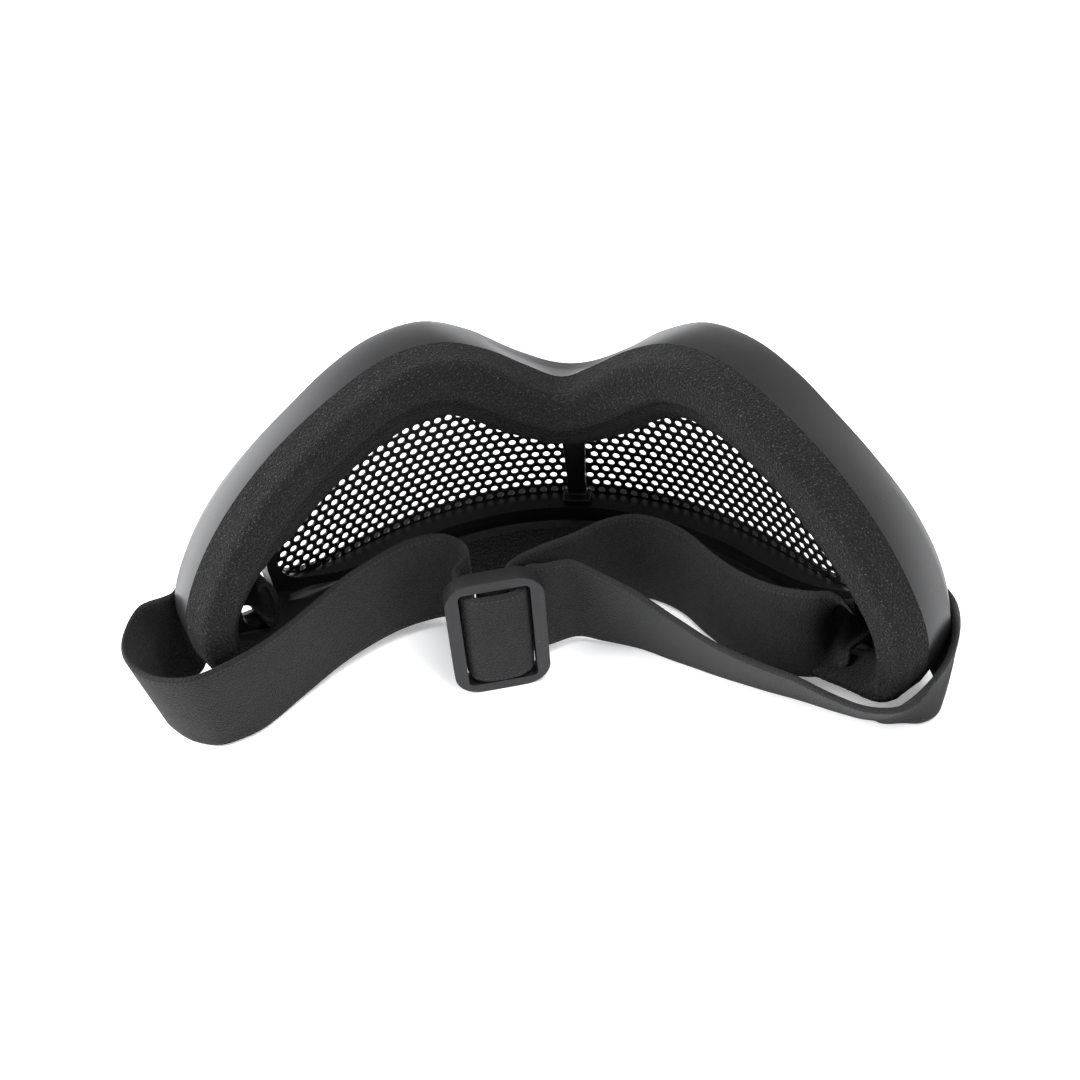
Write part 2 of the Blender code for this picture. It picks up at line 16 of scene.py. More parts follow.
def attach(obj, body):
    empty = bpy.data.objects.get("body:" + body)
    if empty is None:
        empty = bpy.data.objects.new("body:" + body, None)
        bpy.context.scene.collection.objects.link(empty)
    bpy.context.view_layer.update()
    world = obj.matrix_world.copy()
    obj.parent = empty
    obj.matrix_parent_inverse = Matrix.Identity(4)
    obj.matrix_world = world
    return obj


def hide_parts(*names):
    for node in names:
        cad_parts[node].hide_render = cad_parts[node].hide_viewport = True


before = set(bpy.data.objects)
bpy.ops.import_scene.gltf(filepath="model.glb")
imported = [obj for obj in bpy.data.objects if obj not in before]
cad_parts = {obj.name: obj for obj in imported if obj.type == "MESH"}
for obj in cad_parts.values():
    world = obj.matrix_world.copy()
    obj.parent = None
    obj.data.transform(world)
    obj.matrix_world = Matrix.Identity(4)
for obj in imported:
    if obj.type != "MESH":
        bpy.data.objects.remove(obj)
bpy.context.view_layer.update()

bl_info = {
    "name": "Mesh Safety Goggles",
    "version": (1, 0, 0),
    "blender": (4, 5, 0),
    "location": "View3D > Sidebar > Goggles",
    "description": "Builds wraparound goggles with a pierced mesh, a foam ring and an elastic strap",
    "category": "Add Mesh",
}

# Wrap round the face
WRAP_RADIUS = 0.062
ARM_SLOPE = 1.0
LEAN = 0.08
APEX_Y = 0.0085

# Shell
HALF_SPAN = 0.1045
HEIGHT = 0.0685
SHELL_DEPTH = 0.015
FRONT_LIP = 0.002
WALL = 0.0024
DRAFT = 0.008
SHOULDER = 0.002
LEDGE_DEPTH = 0.006
GROOVE = 0.0015
LAND = 0.0012
FRONT_SHARES = (0.10, 0.25, 0.60, 0.85)
BACK_SHARES = (0.0, 0.45, 0.80)
EAR_DROP = 0.0085
EAR_START = 0.0795
EAR_RAMP = 0.004
OPEN_SPAN = 0.077
SILL = 0.0065
OPEN_RISE = 0.044
GAP = 0.0003
HALF_SHEET = 0.00025
MERGE = 0.00005

# Mesh
MESH_STEPS = 6
HOLE_MARGIN = 0.62
HOLE_CORNERS = 12

# Foam
FOAM_DEPTH = 0.008
BAND = 0.0095
FLANGE_SHARE = 0.9
FOAM_ROUND = 0.0022
ROUND_LIMIT = 0.4
SLOPE_SHARE = 0.28
FOAM_FIT = 0.00005
FOAM_STEPS = 20
FOAM_POINTS = 58
BARE_POINTS = 8
COARSE_NAP = 1100.0
FINE_NAP = 2300.0
SLOW_NAP = 90.0

# Strap, slots and slider
STRAP_WIDTH = 0.025
STRAP_THICK = 0.0013
STRAP_STEPS = 8
STRAP_POINTS = 35
SOFT_EDGE = 0.06
EDGE_THICK = 0.15
STITCH = 0.0010
FOLD_WIDTH = 0.36
FOLD_RISE = 1.08
FOLD_FROM = 96.0
FOLD_TO = 126.0
SLOT_S = 0.0855
SLOT_Z = 0.0185
SLOT_WIDTH = 0.0112
SLOT_HEIGHT = 0.0132
SLOT_ROUND = 0.0035
SLIDER_X = -0.0120
SLIDER_Y = -0.0475
SLIDER_TURN = 16.0
SLIDER_SIDE = 0.0028
SLIDER_END = 0.0024
SLIDER_THICK = 0.0036
SLIDER_WINDOW = 0.0148
SLIDER_CORNER = 0.0056
WINDOW_CORNER = 0.0012
WINDOW_PLAY = 0.0009
MIDDLE_BAR = 0.0034
MIDDLE_THICK = 0.0014
MIDDLE_CORNER = 0.0003
MIDDLE_INSET = 0.00005

# Bar between the eyes
BAR_TOP = 0.0066
BAR_FOOT = 0.0046
BAR_DEPTH = 0.0026
FOOT_WIDTH = 0.0070
FOOT_DEPTH = 0.0045
FOOT_HEIGHT = 0.0018

# Floor, lamps and camera
FLOOR_DROP = 0.0001
Lamp = namedtuple("Lamp", "name size share place target")
LAMPS = (
    Lamp("key", 0.60, 1.00, (-0.58, -0.16, 0.48), (0.0, -0.03, 0.03)),
    Lamp("top", 0.30, 0.28, (0.17, -0.13, 0.60), (-0.06, -0.04, 0.02)),
    Lamp("side", 0.22, 0.16, (0.45, -0.50, 0.38), (0.0, -0.04, 0.02)),
)
CAMERA_PLACE = (0.030036, -0.245857, 0.226797)
CAMERA_AZIMUTH = 9.04
CAMERA_ELEVATION = 42.64
CAMERA_ROLL = -4.91

# Outline from the nose notch round the temple to the middle of the brow, in shares of the named sizes.
Ring = namedtuple("Ring", "outer_s outer_z draft band spread open_s open_z ledge ear")
RING = (
    Ring(0.000, 0.788, 1.00, 1.05, 0.95, 0.000, 0.716, 0.40, 0.00),
    Ring(0.096, 0.838, 0.88, 1.15, 0.90, 0.100, 0.750, 0.40, 0.00),
    Ring(0.201, 0.918, 0.60, 1.18, 0.78, 0.215, 0.864, 0.40, 0.00),
    Ring(0.316, 0.981, 0.44, 1.08, 0.88, 0.342, 0.966, 0.40, 0.00),
    Ring(0.440, 1.000, 0.60, 1.00, 1.08, 0.475, 1.000, 0.40, 0.00),
    Ring(0.549, 0.978, 0.80, 0.95, 1.18, 0.608, 0.943, 0.40, 0.00),
    Ring(0.660, 0.928, 0.98, 0.92, 1.20, 0.734, 0.830, 0.40, 0.00),
    Ring(0.773, 0.847, 1.00, 0.92, 1.20, 0.848, 0.670, 0.40, 0.00),
    Ring(0.879, 0.721, 0.88, 0.92, 1.12, 0.937, 0.500, 0.40, 0.00),
    Ring(0.958, 0.569, 0.62, 0.86, 0.72, 0.982, 0.375, 0.40, 0.15),
    Ring(1.000, 0.416, 0.30, 0.79, 0.50, 1.000, 0.280, 0.40, 0.45),
    Ring(0.993, 0.250, 0.22, 0.66, 0.38, 0.998, 0.205, 0.40, 0.50),
    Ring(0.950, 0.165, 0.22, 0.50, 0.28, 0.984, 0.139, 0.40, 0.50),
    Ring(0.871, 0.125, 0.18, 0.32, 0.05, 0.952, 0.082, 0.40, 0.45),
    Ring(0.785, 0.075, 0.12, 0.32, 0.00, 0.896, 0.036, 0.50, 0.20),
    Ring(0.679, 0.015, 0.06, 0.60, 0.00, 0.805, 0.009, 0.85, 0.00),
    Ring(0.555, 0.000, 0.00, 0.86, 0.00, 0.700, 0.000, 1.00, 0.00),
    Ring(0.383, 0.000, 0.00, 0.90, 0.00, 0.510, 0.000, 1.00, 0.00),
    Ring(0.191, 0.000, 0.00, 0.90, 0.00, 0.255, 0.000, 1.00, 0.00),
    Ring(0.000, 0.000, 0.00, 0.90, 0.00, 0.000, 0.000, 1.00, 0.00),
)

# The strap's middle line. Through a slot: shares of the slot's place and of the shell's depth.
Slot = namedtuple("Slot", "s n z lean_y roll")
SLOT_WAY = (
    Slot(1.00, -0.87, 1.00, 0.00, 130.0),
    Slot(1.00, -0.57, 1.00, 0.00, 130.0),
    Slot(0.998, -0.25, 1.00, 0.00, 124.0),
    Slot(1.03, 0.03, 0.99, 0.00, 104.0),
    Slot(1.08, 0.07, 0.94, 0.00, 72.0),
    Slot(1.145, -0.01, 0.86, 0.00, 38.0),
    Slot(1.19, -0.28, 0.77, 0.00, 10.0),
)
# Free runs: shares of the temple end's place and of half the strap's width, then lean and curl.
Free = namedtuple("Free", "x y z lean_x lean_y roll")
LEFT_RUN = (
    Free(-0.997, 1.120, 1.08, -0.03, 0.00, 1.0),
    Free(-1.004, 1.225, 1.04, -0.08, -0.04, 0.0),
    Free(-0.988, 1.330, 1.01, -0.12, -0.08, 0.0),
    Free(-0.950, 1.405, 1.00, -0.13, -0.14, 0.0),
    Free(-0.905, 1.450, 0.99, -0.08, -0.17, 0.0),
    Free(-0.860, 1.466, 0.99, -0.03, -0.16, 0.0),
    Free(-0.814, 1.460, 0.99, 0.00, -0.13, 0.0),
    Free(-0.763, 1.411, 1.00, 0.03, -0.09, 0.0),
    Free(-0.719, 1.347, 1.00, 0.05, -0.06, 0.0),
    Free(-0.678, 1.260, 1.00, 0.07, -0.07, 0.0),
    Free(-0.639, 1.175, 1.04, 0.08, -0.08, 0.0),
    Free(-0.598, 1.085, 1.09, 0.08, -0.08, 0.0),
    Free(-0.557, 0.992, 1.14, 0.07, -0.07, 0.0),
    Free(-0.512, 0.902, 1.18, 0.05, -0.05, 0.0),
    Free(-0.435, 0.775, 1.21, 0.03, -0.03, 0.0),
    Free(-0.368, 0.695, 1.22, 0.00, 0.00, 0.0),
    Free(-0.301, 0.665, 1.24, 0.00, 0.00, 0.0),
    Free(-0.246, 0.712, 1.27, 0.00, 0.00, 0.0),
    Free(-0.222, 0.800, 1.29, 0.00, 0.00, 0.0),
)
RIGHT_RUN = (
    Free(-0.033, 0.822, 1.19, 0.00, -0.03, 0.0),
    Free(0.036, 0.760, 1.12, 0.00, -0.08, 0.0),
    Free(0.104, 0.790, 1.06, 0.00, -0.16, 0.0),
    Free(0.201, 0.850, 0.99, 0.00, -0.29, 0.0),
    Free(0.301, 0.950, 0.92, 0.00, -0.44, 0.0),
    Free(0.401, 1.050, 0.88, -0.02, -0.56, 0.0),
    Free(0.495, 1.125, 0.85, -0.05, -0.61, 0.0),
    Free(0.586, 1.187, 0.84, -0.08, -0.65, 0.0),
    Free(0.677, 1.260, 0.80, -0.12, -0.72, 0.0),
    Free(0.740, 1.298, 0.78, -0.08, -0.76, 0.0),
    Free(0.795, 1.295, 0.80, 0.00, -0.72, 0.0),
    Free(0.846, 1.252, 0.90, 0.05, -0.45, 0.0),
    Free(0.893, 1.200, 1.00, 0.05, -0.20, 0.0),
    Free(0.924, 1.125, 1.07, 0.02, -0.05, 3.0),
)
INNER_RUN = (
    Free(0.686, 0.976, 1.52, 0.00, 0.00, 108.0),
    Free(0.668, 0.990, 1.50, 0.00, 0.00, 64.0),
    Free(0.645, 1.003, 1.47, 0.00, 0.00, 24.0),
    Free(0.610, 1.008, 1.42, 0.00, 0.00, 7.0),
    Free(0.565, 0.982, 1.33, 0.00, 0.00, 2.0),
    Free(0.505, 0.915, 1.20, 0.00, 0.00, 0.0),
    Free(0.435, 0.805, 1.08, 0.00, 0.00, 0.0),
    Free(0.372, 0.680, 1.02, 0.00, 0.00, 0.0),
    Free(0.313, 0.555, 1.02, 0.00, 0.00, 0.0),
    Free(0.248, 0.475, 1.02, 0.00, 0.00, 0.0),
    Free(0.175, 0.442, 1.02, 0.00, 0.00, 0.0),
    Free(0.098, 0.500, 1.06, 0.00, 0.00, 0.0),
    Free(0.030, 0.618, 1.15, 0.00, 0.00, 0.0),
    Free(-0.041, 0.728, 1.26, 0.00, 0.00, 0.0),
)
# In the slider: shares of half the middle bar, then strap thicknesses to the right and in front of it.
Buckle = namedtuple("Buckle", "bar across front")
FRONT_PASS = (
    Buckle(-1.0, -3.85, -5.60),
    Buckle(-1.0, -3.78, -2.60),
    Buckle(-1.0, -3.74, -0.60),
    Buckle(-1.0, -3.15, 0.85),
    Buckle(-1.0, -1.55, 1.80),
    Buckle(0.0, 0.00, 2.05),
    Buckle(1.0, 1.55, 1.80),
    Buckle(1.0, 3.15, 0.85),
    Buckle(1.0, 3.74, -0.60),
    Buckle(1.0, 3.85, -2.30),
    Buckle(1.0, 5.00, -3.50),
)
BAR_WRAP = (
    Buckle(1.0, 2.77, -5.38),
    Buckle(1.0, 0.95, -2.20),
    Buckle(1.0, 0.72, -0.50),
    Buckle(1.0, 0.45, 0.45),
    Buckle(0.0, 0.00, 0.80),
    Buckle(-1.0, -0.45, 0.45),
    Buckle(-1.0, -0.72, -0.50),
    Buckle(-1.0, -0.70, -1.90),
    Buckle(0.0, -0.45, -3.30),
)


class ShellSettings(bpy.types.PropertyGroup):
    """Moulded shell and bar."""

    colour: bpy.props.FloatVectorProperty(
        name="Colour", description="Colour of the moulded plastic", subtype="COLOR",
        size=3, min=0.0, max=1.0, default=(0.010, 0.010, 0.0108))
    roughness: bpy.props.FloatProperty(
        name="Roughness", description="How dull the plastic is", min=0.0, max=1.0, default=0.36)
    edge: bpy.props.FloatProperty(
        name="Edge rounding", description="Radius on the shell's edges", unit="LENGTH",
        min=0.0001, max=0.0010, default=0.00045)
    steps: bpy.props.IntProperty(
        name="Sections", description="Sections between two rows of the outline", min=2, max=12, default=6)


class MeshSettings(bpy.types.PropertyGroup):
    """Pierced steel mesh."""

    colour: bpy.props.FloatVectorProperty(
        name="Colour", description="Colour of the coated steel", subtype="COLOR",
        size=3, min=0.0, max=1.0, default=(0.012, 0.012, 0.013))
    pitch: bpy.props.FloatProperty(
        name="Pitch", description="Spacing of the holes in a row", unit="LENGTH",
        min=0.0018, max=0.0060, default=0.00264)
    hole: bpy.props.FloatProperty(
        name="Hole", description="Diameter of a hole", unit="LENGTH",
        min=0.0006, max=0.0050, default=0.00172)
    sheet: bpy.props.FloatProperty(
        name="Sheet", description="Thickness of the steel", unit="LENGTH",
        min=0.0002, max=0.0010, default=0.0004)
    strip: bpy.props.FloatProperty(
        name="Middle strip", description="Plain strip on each side of the centre plane", unit="LENGTH",
        min=0.0010, max=0.0060, default=0.0031)


class FoamSettings(bpy.types.PropertyGroup):
    """Foam ring."""

    colour: bpy.props.FloatVectorProperty(
        name="Colour", description="Colour of the foam", subtype="COLOR",
        size=3, min=0.0, max=1.0, default=(0.0095, 0.0095, 0.0100))
    fleck: bpy.props.FloatVectorProperty(
        name="Flecks", description="Colour of the light fibres on the foam", subtype="COLOR",
        size=3, min=0.0, max=1.0, default=(0.078, 0.078, 0.080))
    nap: bpy.props.FloatProperty(
        name="Nap", description="Height of the felt-like grain", unit="LENGTH",
        min=0.0, max=0.0008, default=0.00016)


class StrapSettings(bpy.types.PropertyGroup):
    """Elastic strap."""

    colour: bpy.props.FloatVectorProperty(
        name="Colour", description="Colour of the yarn", subtype="COLOR",
        size=3, min=0.0, max=1.0, default=(0.0122, 0.0121, 0.0124))
    yarn: bpy.props.FloatProperty(
        name="Yarn", description="Spacing of the ribs across the band", unit="LENGTH",
        min=0.0003, max=0.0020, default=0.00062)
    selvedge: bpy.props.FloatProperty(
        name="Selvedge", description="Distance of the stitch line from the edge", unit="LENGTH",
        min=0.0005, max=0.0030, default=0.0012)


class SliderSettings(bpy.types.PropertyGroup):
    """Strap slider."""

    colour: bpy.props.FloatVectorProperty(
        name="Colour", description="Colour of the slider", subtype="COLOR",
        size=3, min=0.0, max=1.0, default=(0.0085, 0.0085, 0.0092))
    edge: bpy.props.FloatProperty(
        name="Edge rounding", description="Radius on the slider's edges", unit="LENGTH",
        min=0.0002, max=0.0012, default=0.0011)


class StageSettings(bpy.types.PropertyGroup):
    """Floor, light and camera."""

    floor: bpy.props.FloatVectorProperty(
        name="Floor", description="Colour of the floor", subtype="COLOR",
        size=3, min=0.0, max=1.0, default=(0.90, 0.905, 0.92))
    glow: bpy.props.FloatProperty(
        name="Floor glow", description="Light that the floor gives by itself, as a lit studio table does",
        min=0.0, max=1.0, default=0.28)
    sky: bpy.props.FloatProperty(
        name="Ambient light", description="Strength of the light from all round",
        min=0.0, max=4.0, default=0.40)
    key: bpy.props.FloatProperty(
        name="Key light", description="Power of the large lamp", subtype="POWER", unit="POWER",
        min=0.0, max=200.0, default=12.0)
    lens: bpy.props.FloatProperty(
        name="Lens", description="Focal length of the camera in millimetres",
        min=20.0, max=200.0, default=46.96)


# Geometry

def smooth_step(share):
    """Ease from 0 to 1."""
    share = min(max(share, 0.0), 1.0)
    return share * share * (3.0 - 2.0 * share)


def wrap(s, z, n):
    """Place a point of the wrap in space."""
    run = min(abs(s), WRAP_RADIUS * ARM_SLOPE)
    beyond = abs(s) - run
    turn = math.atan2(run, WRAP_RADIUS)
    out = n - LEAN * z
    x = WRAP_RADIUS * math.asinh(run / WRAP_RADIUS) + beyond * math.cos(turn) + out * math.sin(turn)
    y = APEX_Y + WRAP_RADIUS - math.hypot(WRAP_RADIUS, run) - beyond * math.sin(turn) + out * math.cos(turn)
    return Vector((math.copysign(x, s) if s else 0.0, y, z))


def curve_through(rows, steps, place):
    """Run a smooth curve through the rows; the first and the last only steer it."""
    reach = [0.0]
    for here, there in zip(rows, rows[1:]):
        reach.append(reach[-1] + math.dist(here[:place], there[:place]))
    pull = [None]
    for i in range(1, len(rows) - 1):
        span = reach[i + 1] - reach[i - 1]
        pull.append([(b - a) / span for a, b in zip(rows[i - 1], rows[i + 1])])
    found = []
    for i in range(1, len(rows) - 2):
        length = reach[i + 1] - reach[i]
        for k in range(steps):
            u = k / steps
            start = 2 * u ** 3 - 3 * u ** 2 + 1
            leave = (u ** 3 - 2 * u ** 2 + u) * length
            arrive = (u ** 3 - u ** 2) * length
            found.append([
                start * a + leave * da + (1 - start) * b + arrive * db
                for a, b, da, db in zip(rows[i], rows[i + 1], pull[i], pull[i + 1])
            ])
    found.append(list(rows[-2]))
    return found


def inward(points):
    """Direction into the ring at each point of a clockwise outline."""
    first, last = points[1], points[-2]
    steered = [Vector((-first.x, first.y)), *points, Vector((-last.x, last.y))]
    found = []
    for before, after in zip(steered, steered[2:]):
        along = (after - before).normalized()
        found.append(Vector((along.y, -along.x)))
    return found


Station = namedtuple("Station", "outer open outer_in open_in draft band spread ledge ear")


def ring_stations(steps):
    """Stations of the ring from the nose notch to the middle of the brow."""
    rows = []
    for row in RING:
        rows.append((
            row.outer_s * HALF_SPAN,
            row.outer_z * HEIGHT,
            row.open_s * OPEN_SPAN,
            SILL + row.open_z * OPEN_RISE,
            row.draft * DRAFT,
            row.band * BAND,
            row.spread * BAND,
            row.ledge * LEDGE_DEPTH,
            row.ear * EAR_DROP,
        ))
    mirrored = [(-row[0], row[1], -row[2], *row[3:]) for row in (rows[1], rows[-2])]
    rows = curve_through([mirrored[0], *rows, mirrored[1]], steps, place=2)
    outer = [Vector((row[0], max(row[1], 0.0))) for row in rows]
    opening = [Vector(row[2:4]) for row in rows]
    stations = []
    for row, *places in zip(rows, outer, opening, inward(outer), inward(opening)):
        stations.append(Station(*places, max(row[4], 0.0), *row[5:]))
    return stations


def recess(s):
    """How far the wall lies back at the temple."""
    return EAR_DROP * smooth_step((s - EAR_START) / EAR_RAMP)


def shell_section(station):
    """Section of the shell at one station."""
    outer, opening = station.outer, station.open
    shoulder = outer + station.outer_in * station.draft
    wall = min(WALL, station.band / 2)
    inner_shoulder = shoulder + station.outer_in * wall
    flange_root = outer + station.outer_in * wall
    flange_edge = outer + station.outer_in * (station.band + station.spread * FLANGE_SHARE)
    groove = opening - station.open_in * GROOVE
    land = opening - station.open_in * (GROOVE + LAND)
    slit = HALF_SHEET + GAP
    rise = [shoulder.lerp(land, share) for share in FRONT_SHARES]
    behind = [inner_shoulder.lerp(land, share) for share in BACK_SHARES]
    back = -station.ledge
    points = [
        (outer, -SHELL_DEPTH),
        (shoulder, -SHOULDER - station.ear),
        (rise[0], FRONT_LIP - WALL / 2 - station.ear),
        (rise[1], FRONT_LIP - recess(rise[1].x)),
        (rise[2], FRONT_LIP - recess(rise[2].x)),
        (rise[3], FRONT_LIP - recess(rise[3].x)),
        (land, FRONT_LIP),
        (opening, FRONT_LIP),
        (opening, slit),
        (groove, slit),
        (groove, -slit),
        (opening, -slit),
        (opening, back),
        (land, back),
        (behind[2], back - recess(behind[2].x)),
        (behind[1], back - recess(behind[1].x)),
        (behind[0], back - recess(behind[0].x)),
        (flange_root, WALL - SHELL_DEPTH),
        (flange_edge, WALL - SHELL_DEPTH),
        (flange_edge, -SHELL_DEPTH),
    ]
    return [wrap(place.x, place.y, n) for place, n in points]


def foam_profile(station, points):
    """Section of the foam: steps inwards from the outline and places along n, evenly spaced."""
    width = station.band - FOAM_FIT
    ease = min(FOAM_ROUND, width * ROUND_LIMIT)
    root = -SHELL_DEPTH - FOAM_FIT
    face = -SHELL_DEPTH - FOAM_DEPTH
    path = [(0.0, root), (0.0, face + ease)]
    for k in range(1, 6):
        turn = math.radians(15 * k)
        path.append((ease * (1 - math.cos(turn)), face + ease * (1 - math.sin(turn))))
    for k in range(9):
        path.append((ease + (width - 2 * ease) * k / 8, face))
    for k in range(5, 0, -1):
        turn = math.radians(15 * k)
        path.append((width - ease * (1 - math.cos(turn)), face + ease * (1 - math.sin(turn))))
    path += [(width + station.spread * SLOPE_SHARE, face + ease), (width + station.spread, root)]
    reach = [0.0]
    for here, there in zip(path, path[1:]):
        reach.append(reach[-1] + math.dist(here, there))
    found = []
    for k in range(points):
        want = reach[-1] * k / (points - 1)
        i = min(max(sum(1 for r in reach if r <= want) - 1, 0), len(path) - 2)
        share = (want - reach[i]) / max(reach[i + 1] - reach[i], 1e-9)
        across = path[i][0] + (path[i + 1][0] - path[i][0]) * share
        n = path[i][1] + (path[i + 1][1] - path[i][1]) * share
        found.append((across, n))
    return found


def foam_section(station, profile):
    """Section of the foam: a band with a rounded face and a slope towards the mesh."""
    outer = station.outer + station.outer_in * FOAM_FIT
    places = [(outer + station.outer_in * across, n) for across, n in profile]
    return [wrap(place.x, place.y, n) for place, n in places]


def link(thing):
    """Put an object in the scene."""
    bpy.context.scene.collection.objects.link(thing)
    return thing


def finished(build, name):
    """Turn a mesh under construction into an object in the scene."""
    mesh = bpy.data.meshes.new(name)
    build.to_mesh(mesh)
    build.free()
    return link(bpy.data.objects.new(name, mesh))


def loft(name, sections, capped=False, lengths=None, across=None):
    """Join equal closed sections into a skin, with the way along and across kept as a UV map."""
    build = bmesh.new()
    layer = build.loops.layers.uv.new("band") if lengths else None
    loops = [[build.verts.new(point) for point in section] for section in sections]
    for i, (here, there) in enumerate(zip(loops, loops[1:])):
        for k in range(len(here)):
            after = (k + 1) % len(here)
            face = build.faces.new((here[k], here[after], there[after], there[k]))
            if layer:
                spots = ((i, k), (i, after), (i + 1, after), (i + 1, k))
                for corner, (row, place) in zip(face.loops, spots):
                    corner[layer].uv = (lengths[row], across[place])
    if capped:
        build.faces.new(loops[0])
        build.faces.new(loops[-1])
    bmesh.ops.recalc_face_normals(build, faces=build.faces)
    return finished(build, name)


def rounded_block(name, size, corner, segments):
    """Block with its four edges along Y rounded."""
    build = bmesh.new()
    bmesh.ops.create_cube(build, size=1.0)
    bmesh.ops.scale(build, vec=size, verts=build.verts)
    along_y = [edge for edge in build.edges if abs(edge.verts[0].co.y - edge.verts[1].co.y) > size[1] / 2]
    bmesh.ops.bevel(build, geom=along_y, offset=corner, segments=segments, profile=0.5, affect="EDGES")
    return finished(build, name)


def boolean(thing, other, operation):
    """Cut or join a mesh with another."""
    step = thing.modifiers.new(operation.title(), "BOOLEAN")
    step.operation = operation
    step.object = other
    step.solver = "EXACT"


def bevel(thing, width, segments, angle):
    """Round the sharp edges of a mesh."""
    step = thing.modifiers.new("Edges", "BEVEL")
    step.width = width
    step.segments = segments
    step.limit_method = "ANGLE"
    step.angle_limit = math.radians(angle)
    step.use_clamp_overlap = True


def mirror(thing):
    """Complete a half that is open at the centre plane."""
    step = thing.modifiers.new("Mirror", "MIRROR")
    step.merge_threshold = MERGE


def settle(thing, angle=35.0, helpers=()):
    """Apply the modifiers, drop the helpers and shade the piece smooth."""
    bpy.context.view_layer.update()
    mesh = bpy.data.meshes.new_from_object(thing.evaluated_get(bpy.context.evaluated_depsgraph_get()))
    thing.modifiers.clear()
    thing.data = mesh
    for helper in helpers:
        bpy.data.objects.remove(helper, do_unlink=True)
    mesh.shade_smooth()
    mesh.set_sharp_from_angle(angle=math.radians(angle))
    return thing


def place_piece(piece, paint, slot, *nodes):
    """Give a piece its material, hang it under the root and hide the solids it stands for."""
    piece.data.materials.clear()
    piece.data.materials.append(paint)
    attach(piece, "root")
    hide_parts(*nodes)


def inside(point, outline):
    """Tell whether a point lies inside a closed outline."""
    crossings = 0
    for a, b in zip(outline, outline[1:] + outline[:1]):
        if (a.y > point.y) != (b.y > point.y):
            if point.x < a.x + (point.y - a.y) * (b.x - a.x) / (b.y - a.y):
                crossings += 1
    return crossings % 2 == 1


def strap_rows():
    """Places, lean and curl of the strap from its hidden end to its end at the slider."""
    temple = wrap(HALF_SPAN, 0.0, 0.0)
    turn = math.radians(SLIDER_TURN)
    right = Vector((math.cos(turn), math.sin(turn)))
    front = Vector((math.sin(turn), -math.cos(turn)))
    height = STRAP_WIDTH / 2 + WINDOW_PLAY + SLIDER_END

    def slot_rows(side, ways):
        return [
            (*wrap(side * way.s * SLOT_S, way.z * SLOT_Z, way.n * SHELL_DEPTH), 0.0, way.lean_y, way.roll)
            for way in ways
        ]

    def free_rows(ways):
        return [
            (way.x * temple.x, way.y * temple.y, way.z * STRAP_WIDTH / 2, way.lean_x, way.lean_y, way.roll)
            for way in ways
        ]

    def buckle_rows(ways):
        found = []
        for way in ways:
            across = way.bar * MIDDLE_BAR / 2 + way.across * STRAP_THICK
            ahead = MIDDLE_THICK - SLIDER_THICK / 2 + way.front * STRAP_THICK
            place = Vector((SLIDER_X, SLIDER_Y)) + right * across + front * ahead
            found.append((*place, height, 0.0, 0.0, 0.0))
        return found

    rows = slot_rows(-1, SLOT_WAY) + free_rows(LEFT_RUN) + buckle_rows(FRONT_PASS)
    rows += free_rows(RIGHT_RUN) + slot_rows(1, SLOT_WAY[::-1]) + free_rows(INNER_RUN) + buckle_rows(BAR_WRAP)
    return rows


def strap_profile(points):
    """Share across the band and share of the half thickness, with soft edges."""
    found = []
    for k in range(points):
        share = 2 * k / (points - 1) - 1
        edge = max(0.0, (abs(share) - 1 + SOFT_EDGE) / SOFT_EDGE)
        found.append((share, math.sqrt(max(1 - edge ** 2, 0.0)) * (1 - EDGE_THICK) + EDGE_THICK))
    return found


def strap_section(centre, along, lean, roll, profile):
    """Section of the band: flat, or curled round the direction in which it runs."""
    up = Vector((lean[0], lean[1], 1.0))
    up = (up - along * up.dot(along)).normalized()
    out = along.cross(up)
    half = max(math.radians(roll), math.radians(1.0))
    radius = STRAP_WIDTH / (2 * half)
    depth = radius * (1 - math.cos(half))
    fold = smooth_step((roll - FOLD_FROM) / (FOLD_TO - FOLD_FROM))
    narrow = 1.0 - (1.0 - FOLD_WIDTH) * fold
    tall = 1.0 + (FOLD_RISE - 1.0) * fold
    sides = ([], [])
    for share, thick in profile:
        turn = half * share
        away = up * math.sin(turn) + out * math.cos(turn)
        spine = centre + up * math.sin(turn) * radius * tall
        spine += out * ((math.cos(turn) - 1.0) * radius + depth / 2) * narrow
        sides[0].append(spine + away * STRAP_THICK / 2 * thick)
        sides[1].append(spine - away * STRAP_THICK / 2 * thick)
    return sides[0] + sides[1][::-1]


# Shader helpers

def feed(tree, node, **inputs):
    """Fill a node's inputs: one given as a socket is linked, any other value is set.

    An input is called by its name with _ for each space, or as i and its place in the list.
    """
    for name, value in inputs.items():
        key = int(name[1:]) if name[0] == "i" and name[1:].isdigit() else name.replace("_", " ")
        socket = node.inputs[key]
        if isinstance(value, bpy.types.NodeSocket):
            tree.links.new(value, socket)
        else:
            socket.default_value = value
    return node


def add(tree, kind, settings=None, **inputs):
    """Add a shader node with its settings and inputs."""
    node = tree.nodes.new(kind)
    for name, value in (settings or {}).items():
        setattr(node, name, value)
    return feed(tree, node, **inputs)


def maths(tree, operation, first, second=0.0, third=0.0):
    """Add a sum, product or other operation and give its value."""
    return add(tree, "ShaderNodeMath", {"operation": operation}, i0=first, i1=second, i2=third).outputs[0]


def ramp(tree, value, low, high):
    """Turn a value into a mask that rises from low to high."""
    settings = {"interpolation_type": "SMOOTHSTEP"}
    node = add(tree, "ShaderNodeMapRange", settings, Value=value, From_Min=low, From_Max=high)
    return node.outputs["Result"]


def blend(tree, mask, first, second):
    """Mix two colours by a mask."""
    return add(tree, "ShaderNodeMix", {"data_type": "RGBA"}, i0=mask, i6=first, i7=second).outputs[2]


